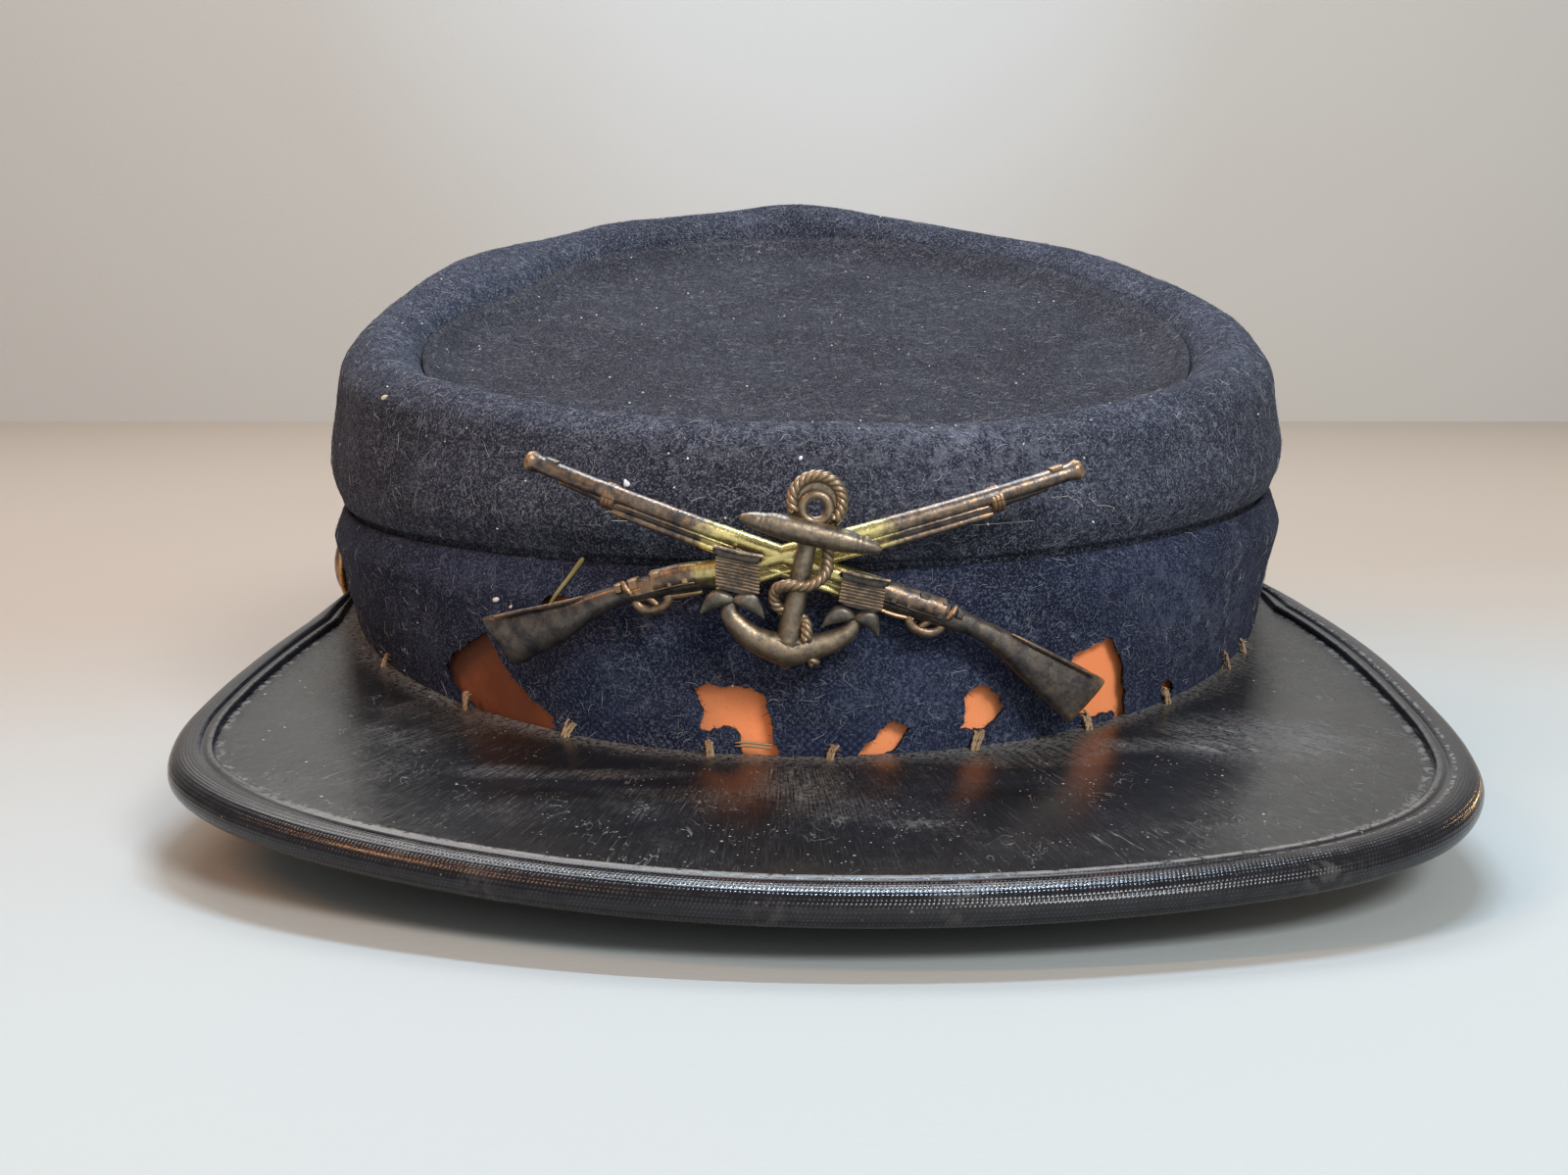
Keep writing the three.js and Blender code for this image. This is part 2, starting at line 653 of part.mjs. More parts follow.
function flukeBill(side, tip) {
  const rootAcross = side * anchorArms.endAcross;
  const rootDrop = anchorArms.endDrop - 1.8;
  const lean = Math.sign(tip.across - anchorArms.endAcross) * side;
  const outline = [
    [rootAcross - lean * 0.6, -rootDrop],
    [rootAcross + lean * 1.6, -rootDrop - 0.9],
    [side * tip.across, -tip.drop],
    [rootAcross + lean * 1.2, -rootDrop - 3.4],
    [rootAcross - lean * 0.3, -rootDrop - 1.8],
  ];
  const grid = [0.5, 2.0].map((proud) => outline.map(([across, up]) => onAnchor(across, up, proud)));
  return sweptBody(grid, false);
}

// A ribbed blank plate with a plain bar across its top.
function ribbedPlate(side) {
  const board = new THREE.BoxGeometry(plate.width, plate.depth, plate.height);
  const bar = new THREE.BoxGeometry(plate.width * 1.1, plate.depth, plate.height * 0.22);
  const place = [side * plate.across, -plate.drop];
  const pieces = [
    settleOnAnchor(board, place[0], place[1], plate.depth / 2),
    settleOnAnchor(bar, place[0], place[1] + plate.height * 0.5, plate.depth / 2 + 0.5),
  ];
  for (let k = 0; k < plate.ribs; k += 1) {
    const rib = new THREE.BoxGeometry(plate.width * 0.9, 0.4, plate.height * 0.09);
    const rise = plate.height * (0.26 - 0.16 * k);
    pieces.push(settleOnAnchor(rib, place[0], place[1] + rise, plate.depth + 0.1));
  }
  return pieces;
}

function ropeBars() {
  const ring = [];
  for (let k = 0; k <= 12; k += 1) {
    const turn = degrees(lerp(212, -32, k / 12));
    const up = rope.ringRise + rope.ringRadius * Math.sin(turn);
    ring.push(onAnchor(rope.ringRadius * Math.cos(turn), up, 1.3));
  }
  const fall = [
    [2.6, -3.4, 1.4], [3.1, -5.2, 1.6], [2.9, -7.4, 2.2], [1.3, -9.2, 3.0], [-1.5, -9.5, 3.0],
    [-2.9, -10.8, 2.0], [-2.3, -12.6, 1.2], [0.2, -13.5, 1.0], [1.9, -14.0, 1.6], [2.6, -15.2, 2.4],
    [3.2, -17.8, 1.6],
  ].map(([across, up, proud]) => onAnchor(across, up, proud));
  return [roundBar(ring, rope.radius, 16, 6), roundBar(fall, rope.radius, 24, 6)];
}

function fouledAnchor() {
  const pieces = [
    anchorShank(),
    anchorEyeBody(),
    anchorStockBody(),
    anchorArmsBody(),
    anchorCrownTip(),
    ...[-1, 1].flatMap((side) => flukeTips.map((tip) => flukeBill(side, tip))),
    ...[-1, 1].flatMap(ribbedPlate),
    ...ropeBars(),
    post(anchorPost, anchor.back - 1.2, anchorPost.reach),
  ];
  return fromSolid(joined(pieces));
}

// ---------------------------------------------------------------- side buttons
function buttonBody() {
  const { radius, dome, shankRadius, shankReach } = sideButton;
  const profile = [
    [0, -shankReach], [shankRadius, -shankReach], [shankRadius, 0.3], [radius - 0.4, 0.3], [radius, 0.7],
  ];
  for (let k = 1; k <= 5; k += 1) {
    const turn = (Math.PI / 2) * (k / 5);
    profile.push([(radius - 0.2) * Math.cos(turn), 1.0 + (dome - 1.0) * Math.sin(turn)]);
  }
  profile[profile.length - 1][0] = 0;
  const button = new THREE.LatheGeometry(profile.map(([x, y]) => new THREE.Vector2(x, y)), 20);
  return fromSolid(toSolid(button));
}

// ---------------------------------------------------------------- the cap
const materials = {
  crown: { color: 0x2b2f3f, roughness: 0.95, metalness: 0 },
  band: { color: 0x232638, roughness: 0.95, metalness: 0 },
  board: { color: 0xc0602e, roughness: 0.8, metalness: 0 },
  leather: { color: 0x17161a, roughness: 0.3, metalness: 0 },
  bronze: { color: 0x5b4f40, roughness: 0.45, metalness: 0.9 },
  brass: { color: 0x8c6a30, roughness: 0.35, metalness: 0.9 },
};

function piece(name, geometry, finish) {
  const mesh = new THREE.Mesh(geometry, new THREE.MeshStandardMaterial(finish));
  mesh.name = name;
  return mesh;
}

const cap = new THREE.Group();
cap.add(piece('band_stiffener', bandStiffener(), materials.board));
cap.add(piece('band_cloth', bandCloth(), materials.band));
cap.add(piece('crown_side', crownSide(), materials.crown));
cap.add(piece('top_disc', topDiscBody(), materials.crown));
cap.add(piece('peak', peakPlate(), materials.leather));
cap.add(piece('peak_binding', peakBinding(), materials.leather));
cap.add(piece('crossed_rifles', crossedRifles(), materials.bronze));
cap.add(piece('anchor', fouledAnchor(), materials.bronze));
for (const button of sideButtons) {
  const mesh = piece(button.name, buttonBody(), materials.brass);
  mesh.rotation.z = -button.side * (Math.PI / 2);
  mesh.position.copy(buttonSeat(button));
  mesh.position.x += button.side * sideButton.standOff;
  cap.add(mesh);
}

// The frame's origin is under the middle of the whole cap's box.
const box = new THREE.Box3().setFromObject(cap);
const middle = box.getCenter(new THREE.Vector3());
cap.position.set(-middle.x, -middle.y, -box.min.z);

export default cap;
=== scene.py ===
import random
from math import atan2, ceil, cos, exp, hypot, pi, radians, sin, sqrt, tan

import bmesh
import bpy
from mathutils import Matrix, Vector, noise
from mathutils.bvhtree import BVHTree


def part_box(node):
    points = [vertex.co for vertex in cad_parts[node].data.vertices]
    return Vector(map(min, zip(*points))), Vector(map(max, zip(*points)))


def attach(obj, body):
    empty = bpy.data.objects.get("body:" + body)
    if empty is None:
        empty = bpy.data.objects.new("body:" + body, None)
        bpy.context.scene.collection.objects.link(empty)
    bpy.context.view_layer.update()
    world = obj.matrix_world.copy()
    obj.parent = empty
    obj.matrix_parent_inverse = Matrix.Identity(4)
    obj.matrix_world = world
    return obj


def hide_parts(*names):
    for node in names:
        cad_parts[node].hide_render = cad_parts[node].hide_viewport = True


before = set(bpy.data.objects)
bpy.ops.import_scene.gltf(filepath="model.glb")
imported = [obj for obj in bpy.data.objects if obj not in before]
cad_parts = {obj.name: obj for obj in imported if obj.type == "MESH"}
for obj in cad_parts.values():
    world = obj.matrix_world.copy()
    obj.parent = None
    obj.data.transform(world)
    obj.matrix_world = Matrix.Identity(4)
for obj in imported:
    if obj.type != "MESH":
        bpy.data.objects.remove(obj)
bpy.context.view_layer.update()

# Pieces are worked out in millimetres in the cap's own frame: x across from the middle of the head,
# y back from the front of the crease, z up from the table. toRow brings them to the shared frame.
mm = 0.001
boardLow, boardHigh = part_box("band_stiffener")
headCentreBack = 90.0
toRow = Matrix.Translation((
    (boardLow.x + boardHigh.x) / 2,
    (boardLow.y + boardHigh.y) / 2 - headCentreBack * mm,
    0,
)) @ Matrix.Scale(mm, 4)


# small helpers

def lerp(start, end, share):
    return start + (end - start) * share


def clamp(value):  # kept between 0 and 1
    return max(0.0, min(1.0, value))


def smoothStep(low, high, value):
    share = clamp((value - low) / (high - low))
    return share * share * (3 - 2 * share)


def ripple(point, size, seed=0):  # smooth noise from -1 to 1 with humps about `size` mm apart
    return noise.noise(Vector(point) / size + Vector((seed * 7.3, seed * 3.1, seed * 5.7)))


def splinePoint(points, share):  # centripetal Catmull-Rom through the points
    last = len(points) - 1
    spot = clamp(share) * last
    k = min(int(spot), last - 1)
    weight = spot - k
    p1, p2 = points[k], points[k + 1]
    p0 = points[k - 1] if k > 0 else p1 * 2 - p2
    p3 = points[k + 2] if k + 2 <= last else p2 * 2 - p1
    step = sqrt((p2 - p1).length) or 1.0
    before = sqrt((p1 - p0).length) or step
    after = sqrt((p3 - p2).length) or step
    leave = ((p1 - p0) / before - (p2 - p0) / (before + step) + (p2 - p1) / step) * step
    arrive = ((p2 - p1) / step - (p3 - p1) / (step + after) + (p3 - p2) / after) * step
    c2 = (p2 - p1) * 3 - leave * 2 - arrive
    c3 = (p1 - p2) * 2 + leave + arrive
    return p1 + leave * weight + c2 * weight ** 2 + c3 * weight ** 3


def evenly(points, count):  # the spline's points at even distances
    steps = 24 * len(points)
    line = [splinePoint(points, k / steps) for k in range(steps + 1)]
    runs = [0.0]
    for a, b in zip(line, line[1:]):
        runs.append(runs[-1] + (b - a).length)
    spread, k = [], 0
    for i in range(count + 1):
        want = runs[-1] * i / count
        while k < len(line) - 2 and runs[k + 1] < want:
            k += 1
        spread.append(line[k].lerp(line[k + 1], clamp((want - runs[k]) / (runs[k + 1] - runs[k] or 1))))
    return spread


def mappedGrid(bm, columns, rows, place, roundColumns=False, roundRows=False, uvSize=(1, 1), marks=None):
    # A flat grid whose points are moved to place(u, v), both from 0 to 1; round ways are welded shut.
    # marks names what is kept at each point for the finish, as functions of u and v.
    uv = bm.loops.layers.uv.verify()
    for name in marks or {}:
        if name not in bm.verts.layers.float:
            bm.verts.layers.float.new(name)
    made = bmesh.ops.create_grid(bm, x_segments=columns, y_segments=rows, size=1)["verts"]
    lows = [min(v.co[k] for v in made) for k in (0, 1)]
    spans = [max(v.co[k] for v in made) - lows[k] for k in (0, 1)]
    shares = {v: ((v.co.x - lows[0]) / spans[0], (v.co.y - lows[1]) / spans[1]) for v in made}
    faces = {face for v in made for face in v.link_faces}
    for face in faces:
        for loop in face.loops:
            u, v = shares[loop.vert]
            loop[uv].uv = (u * uvSize[0], v * uvSize[1])
    for name, mark in (marks or {}).items():
        layer = bm.verts.layers.float[name]
        for v in made:
            v[layer] = mark(*shares[v])
    for v in made:
        u, w = shares[v]
        v.co = place((u % 1.0) if roundColumns else u, (w % 1.0) if roundRows else w)
    edge = [v for v in made if v.is_boundary]
    bmesh.ops.remove_doubles(bm, verts=edge, dist=1e-4)
    return [face for face in faces if face.is_valid]


def closeEnds(bm, faces):
    edges = {edge for face in faces if face.is_valid for edge in face.edges if edge.is_boundary}
    bmesh.ops.holes_fill(bm, edges=list(edges), sides=0)


def tube(bm, centres, radii, sides=10, flatten=1.0, facing=None):
    # A closed bar along the centres; facing is the direction that its flatter side looks in.
    count = len(centres) - 1
    frames = []
    across = None
    for k in range(count + 1):
        ahead = (centres[min(k + 1, count)] - centres[max(k - 1, 0)]).normalized()
        if facing is not None:
            side = ahead.cross(facing).normalized()
        elif across is None:
            side = ahead.orthogonal().normalized()
        else:
            side = (across - ahead * across.dot(ahead)).normalized()
        across = side
        frames.append((side, side.cross(ahead).normalized()))

    def place(u, v):
        k = round(u * count)
        side, up = frames[k]
        turn = 2 * pi * v
        radius = radii[k] if isinstance(radii, (list, tuple)) else radii
        return centres[k] + side * radius * cos(turn) + up * radius * flatten * sin(turn)

    faces = mappedGrid(bm, count, sides, place, roundRows=True)
    closeEnds(bm, faces)


def loft(bm, sections):  # closed sections of the same number of points, joined and capped
    count, sides = len(sections) - 1, len(sections[0])
    faces = mappedGrid(
        bm, count, sides, lambda u, v: sections[round(u * count)][round(v * sides) % sides], roundRows=True)
    closeEnds(bm, faces)


def sharpen(bm, angle):
    for edge in bm.edges:
        edge.smooth = not (len(edge.link_faces) == 2 and edge.calc_face_angle(0) > radians(angle))


def addWear(bm, reach=2):  # how much each spot stands out, from 0 in a hollow to 1 on an edge
    layer = bm.verts.layers.float.new("wear")
    bm.normal_update()
    raw = {}
    for v in bm.verts:
        near = [edge.other_vert(v) for edge in v.link_edges]
        length = sum((n.co - v.co).length for n in near) or 1
        raw[v] = sum((v.co - n.co).dot(v.normal) for n in near) / length
    for _ in range(reach):
        around = {v: sum(raw[e.other_vert(v)] for e in v.link_edges) for v in bm.verts}
        raw = {v: 0.5 * raw[v] + 0.5 * around[v] / max(1, len(v.link_edges)) for v in bm.verts}
    for v in bm.verts:
        v[layer] = clamp(0.5 + raw[v] * 1.6)


def finishPiece(bm, name, nodes, material, smoothAngle=None, recalculate=True):
    bmesh.ops.dissolve_degenerate(bm, dist=1e-5, edges=bm.edges[:])
    if recalculate:
        bmesh.ops.recalc_face_normals(bm, faces=bm.faces[:])
    bmesh.ops.transform(bm, matrix=toRow, verts=bm.verts[:])
    for face in bm.faces:
        face.smooth = True
    if smoothAngle:
        sharpen(bm, smoothAngle)
    mesh = bpy.data.meshes.new(name)
    bm.to_mesh(mesh)
    bm.free()
    piece = bpy.data.objects.new(name, mesh)
    bpy.context.collection.objects.link(piece)
    mesh.materials.append(material)
    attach(piece, "root")
    if nodes:
        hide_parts(*nodes)
    return piece


# shader maths

class Wire:
    def __init__(self, tree, socket):
        self.tree = tree
        self.socket = socket

    def node(self, kind, settings, inputs, output=0):
        made = self.tree.nodes.new(kind)
        for name, value in settings.items():
            setattr(made, name, value)
        for name, value in inputs.items():
            if isinstance(value, Wire):
                self.tree.links.new(value.socket, made.inputs[name])
            else:
                made.inputs[name].default_value = value
        return Wire(self.tree, made.outputs[output])

    def maths(self, operation, *others):
        return self.node("ShaderNodeMath", {"operation": operation}, dict(enumerate((self, *others))))

    def __add__(self, other):
        return self.maths("ADD", other)

    def __sub__(self, other):
        return self.maths("SUBTRACT", other)

    def __rsub__(self, other):
        return self.node("ShaderNodeMath", {"operation": "SUBTRACT"}, {0: other, 1: self})

    def __mul__(self, other):
        return self.maths("MULTIPLY", other)

    def __truediv__(self, other):
        return self.maths("DIVIDE", other)

    def __pow__(self, other):
        return self.maths("POWER", other)

    __radd__ = __add__
    __rmul__ = __mul__

    def between(self, low, high, start=0.0, end=1.0):
        return self.node(
            "ShaderNodeMapRange", {"interpolation_type": "SMOOTHSTEP"},
            {"Value": self, "From Min": low, "From Max": high, "To Min": start, "To Max": end})

    def noise(self, scale, detail=2.0, roughness=0.5, distortion=0.0):
        return self.node("ShaderNodeTexNoise", {}, {
            "Vector": self, "Scale": scale, "Detail": detail, "Roughness": roughness,
            "Distortion": distortion})

    def stretched(self, scales, shift=(0, 0, 0), turn=(0, 0, 0)):
        return self.node("ShaderNodeMapping", {}, {
            "Vector": self, "Scale": scales, "Location": shift, "Rotation": turn})

    def cells(self, scale):  # distance to the nearest of many scattered points
        return self.node("ShaderNodeTexVoronoi", {}, {"Vector": self, "Scale": scale}, "Distance")

    def part(self, axis):
        return self.node("ShaderNodeSeparateXYZ", {}, {"Vector": self}, axis)

    def spot(self, centre, reach, axes=(0, 2)):  # 0 in the middle of an oval spot and 1 at its edge
        first, second = axes
        wide, high = reach
        return (((self.part(first) - centre[first]) / (wide * mm)) ** 2
                + ((self.part(second) - centre[second]) / (high * mm)) ** 2)

    def mix(self, factor, other):
        other = other if isinstance(other, Wire) else (*other, 1)
        return self.node("ShaderNodeMix", {"data_type": "RGBA"}, {0: factor, 6: self, 7: other}, 2)

    def tint(self, low, high):  # a value from 0 to 1 becomes a colour between two
        return self.node("ShaderNodeMix", {"data_type": "RGBA"}, {0: self, 6: (*low, 1), 7: (*high, 1)}, 2)

    def bump(self, distance, strength):
        return self.node("ShaderNodeBump", {}, {"Height": self, "Distance": distance, "Strength": strength})

    def hairs(self, scale, width):  # thin curled lines, where a warped noise crosses its middle
        offset = (self.noise(scale, 2.0, 0.6, 1.5) - 0.5).maths("ABSOLUTE")
        return offset.between(0.0, width, 1.0, 0.0)


def startMaterial(name, **constants):
    material = bpy.data.materials.new(name)
    material.use_nodes = True
    tree = material.node_tree
    surface = tree.nodes["Principled BSDF"]
    for socket, value in constants.items():
        surface.inputs[socket].default_value = value
    coords = tree.nodes.new("ShaderNodeTexCoord")
    return material, surface, Wire(tree, coords.outputs["Object"]), Wire(tree, coords.outputs["UV"])


def join(wire, surface, socket):
    wire.tree.links.new(wire.socket, surface.inputs[socket])


# the room

roomSettings = {
    "camera": (-0.00461, -0.33155, 0.0754), "pitch": 8.8, "lens": 48.0,
    "floorNear": (0.435, 0.465, 0.452), "floorFar": (0.365, 0.30, 0.24), "floorTurns": (-0.11, 0.20),
    "wallColour": (0.50, 0.485, 0.445), "wallGlow": (0.60, 0.625, 0.62), "wallBack": 0.68,
    "worldColour": (1.0, 0.97, 0.93), "worldStrength": 0.30,
}
lamps = [  # place, what it points at, width, height, power in watts, colour
    ("overhead", (-0.14, 0.56, 0.76), (0, -0.05, 0.0), 0.8, 0.3, 4.4, (1.0, 0.98, 0.95)),
    ("window", (0.46, -0.80, 0.76), (0, -0.03, 0.03), 0.36, 0.32, 9.6, (0.94, 0.97, 1.0)),
    ("fill", (0.20, -1.30, 0.42), (0, -0.05, 0.03), 1.7, 0.7, 3.5, (0.94, 0.97, 1.0)),
    ("rimStrip", (0.06, 0.30, 0.90), (0.0, -0.1, 0.0), 0.40, 0.012, 7.5, (0.60, 0.78, 1.0)),
    ("warmLeft", (-0.57, -0.22, 0.62), (-0.06, -0.09, 0.01), 0.03, 0.34, 2.2, (1.0, 0.46, 0.20)),
    ("warmRight", (0.61, 0.39, 0.14), (0.08, -0.05, 0.01), 0.05, 0.05, 0.35, (1.0, 0.58, 0.26)),
]


def makeRoom():
    settings = roomSettings
    scene = bpy.context.scene
    scene.view_settings.view_transform = "Standard"
    camera = bpy.data.objects.new("camera", bpy.data.cameras.new("camera"))
    camera.data.lens = settings["lens"]
    camera.data.clip_start = 0.01
    camera.location = settings["camera"]
    camera.rotation_euler = (radians(90 - settings["pitch"]), 0, 0)
    scene.collection.objects.link(camera)
    scene.camera = camera

    world = bpy.data.worlds.new("room")
    world.use_nodes = True
    background = world.node_tree.nodes["Background"]
    background.inputs["Color"].default_value = (*settings["worldColour"], 1)
    background.inputs["Strength"].default_value = settings["worldStrength"]
    scene.world = world

    for name, place, target, width, height, power, colour in lamps:
        light = bpy.data.lights.new(name, "AREA")
        light.shape = "RECTANGLE"
        light.size = width
        light.size_y = height
        light.energy = power
        light.color = colour
        lamp = bpy.data.objects.new(name, light)
        lamp.location = place
        lamp.rotation_euler = (Vector(target) - Vector(place)).to_track_quat("-Z", "Y").to_euler()
        scene.collection.objects.link(lamp)

    back = settings["wallBack"]
    for name, size, matrix in (
        ("floor", 3.0, Matrix.Translation((0, back - 3.0, 0))),
        ("wall", 3.0, Matrix.Translation((0, back, 3.0 - 0.002)) @ Matrix.Rotation(pi / 2, 4, "X")),
    ):
        bm = bmesh.new()
        bmesh.ops.create_grid(bm, x_segments=2, y_segments=2, size=size, matrix=matrix)
        mesh = bpy.data.meshes.new(name)
        bm.to_mesh(mesh)
        bm.free()
        plane = bpy.data.objects.new(name, mesh)
        scene.collection.objects.link(plane)
        material, surface, place, _ = startMaterial(name, **{"Roughness": 0.62, "Specular IOR Level": 0.25})
        speck = place.noise(900.0, 1.0)
        if name == "floor":  # painted light: cool close by and warmer towards the back and the left, standing in for warm light falling there
            turn = place.part(1) - place.part(0) * 0.25 + place.noise(7.0, 3.0) * 0.05
            colourAndPaintedLight = turn.between(*settings["floorTurns"]).tint(settings["floorNear"], settings["floorFar"])
        else:
            away = (place.part(0) / 0.22) ** 2 + ((place.part(2) - 0.30) / 0.30) ** 2
            away = away + place.noise(6.0) * 0.4
            colourAndPaintedLight = away.between(0.1, 1.5).tint(settings["wallGlow"], settings["wallColour"])
        join(colourAndPaintedLight, surface, "Base Color")
        join(speck.bump(0.0002, 0.25), surface, "Normal")
        mesh.materials.append(material)


makeRoom()
print("room and camera ready")


# finishes

feltSettings = {
    # worn: heights in mm between which the cloth is rubbed down to its threads
    # pale: (across, up, half width, half height, strength) of rubbed patches, in mm
    "bandFelt": {
        "dark": (0.007, 0.009, 0.019), "light": (0.013, 0.017, 0.039), "dusty": (0.100, 0.115, 0.165),
        "dust": (0.42, 0.66), "worn": (13, 22), "pale": [
            (52, 29, 9, 5, 0.22), (58, 22, 6, 5, 0.26), (46, 33, 10, 3, 0.12), (62, 30, 4, 6, 0.24),
            (30, 20, 4, 3, 0.12), (14, 21, 6, 4, 0.12), (-24, 21, 10, 4, 0.1), (-56, 24, 5, 6, 0.12),
            (-46, 33, 10, 3, 0.1), (6, 19, 5, 3, 0.12)]},
    "crownFelt": {
        "dark": (0.012, 0.014, 0.023), "light": (0.019, 0.022, 0.036), "dusty": (0.160, 0.170, 0.210),
        "dust": (0.38, 0.62), "worn": None, "pale": [
            (24, 48, 20, 6, 0.18), (8, 52, 30, 4, 0.2), (-20, 53, 14, 4, 0.12)]},
    "topFelt": {
        "dark": (0.012, 0.012, 0.018), "light": (0.018, 0.019, 0.026), "dusty": (0.110, 0.111, 0.124),
        "dust": (0.32, 0.60), "worn": None, "pale": []},
}


def feltFinish(name):
    settings = feltSettings[name]
    dusty = settings["dusty"]
    material, surface, place, _ = startMaterial(name, **{"Roughness": 0.97, "Specular IOR Level": 0.10})
    clouds = place.noise(38.0, 3.0, 0.6)
    fine = place.noise(3300.0, 3.0, 0.7)
    tufts = place.noise(900.0, 4.0, 0.7)
    patches = place.noise(110.0, 3.0, 0.65)
    base = clouds.between(0.3, 0.7).tint(settings["dark"], settings["light"])
    for across, up, wide, high, strength in settings["pale"]:
        near = place.spot(toRow @ Vector((across, 0, up)), (wide, high)).between(0.0, 1.6, strength, 0.0)
        near = near * place.noise(480.0, 5.0, 0.8).between(0.44, 0.62)
        base = base.mix(near, [c * 1.5 for c in dusty])
    base = base.mix(fine.between(0.49, 0.66) * 0.85, dusty)
    cover = (clouds * 0.5 + patches * 0.5).between(*settings["dust"])
    base = base.mix(tufts.between(0.50, 0.72) * cover * 0.7, dusty)
    lint = place.noise(520.0, 3.0, 0.7).between(0.60, 0.74) * patches.between(0.52, 0.66)
    base = base.mix(lint * 0.55, [c * 2.0 for c in dusty])
    curls = place.hairs(420.0, 0.012) * place.noise(210.0, 1.0).between(0.44, 0.60)
    longCurls = place.stretched((1, 1, 1), (0.3, 0.1, 0.2)).hairs(230.0, 0.006)
    longCurls = longCurls * place.noise(120.0, 1.0).between(0.50, 0.62)
    base = base.mix(curls * 0.40, [c * 2.2 for c in dusty])
    base = base.mix(longCurls * 0.42, [c * 2.8 for c in dusty])
    if settings["worn"]:
        low, high = settings["worn"]
        weave = (place.part(0) * 5200.0).maths("SINE") * (place.part(2) * 5600.0).maths("SINE")
        threads = weave.between(-0.2, 0.8).tint((0.010, 0.013, 0.026), (0.035, 0.050, 0.125))
        bare = place.part(2).between(high * mm, low * mm) * place.noise(70.0, 3.0).between(0.46, 0.6)
        base = base.mix(bare * 0.75, threads)
    join(base, surface, "Base Color")
    relief = fine * 0.4 + tufts * 0.8 + patches * 1.2
    join(relief.bump(0.00020, 0.75), surface, "Normal")
    return material


boardSettings = {
    "dark": (0.93, 0.27, 0.10), "light": (1.0, 0.35, 0.14), "grit": (0.50, 0.16, 0.07),
    # painted shade: a dark brown mixed into the board towards the left end of the left hole, between the two
    # places across
    "paintedShade": (0.125, 0.045, 0.027), "paintedShadeFrom": -0.026, "paintedShadeTo": -0.040,
}


def boardFinish():
    settings = boardSettings
    material, surface, place, _ = startMaterial("orangeBoard", **{
        "Roughness": 0.85, "Specular IOR Level": 0.2})
    blotch = place.noise(60.0, 4.0, 0.6)
    grit = place.noise(1900.0, 2.0)
    base = blotch.between(0.3, 0.7).tint(settings["dark"], settings["light"])
    base = base.mix(grit.between(0.62, 0.8) * 0.30, settings["grit"])
    # painted shade: the board darkens towards its left end, across the left hole
    paintedShade = place.part(0).between(settings["paintedShadeFrom"], settings["paintedShadeTo"])
    base = base.mix(paintedShade * blotch.between(0.25, 0.60, 0.7, 1.0) * 0.92, settings["paintedShade"])
    join(base, surface, "Base Color")
    join(grit.bump(0.00008, 0.6), surface, "Normal")
    return material


enamelSettings = {
    "black": ((0.006, 0.006, 0.007), (0.013, 0.012, 0.012)), "dust": (0.205, 0.195, 0.180),
    "specks": (0.42, 0.40, 0.37),
    "scuffs": [  # across, back, half width, half depth in mm, strength
        (-38, -8, 9, 3, 0.5), (-26, -9, 12, 2.2, 0.75), (-16, -16, 16, 3, 0.35), (-2, -12, 7, 7, 0.55),
        (2, -20, 8, 6, 0.4), (26, -3, 14, 4, 0.5), (36, 2, 20, 4, 0.6), (-52, 12, 12, 12, 0.45),
        (58, 5, 16, 12, 0.5), (-30, -22, 14, 5, 0.3), (12, -26, 6, 1.6, 0.35),
    ]}


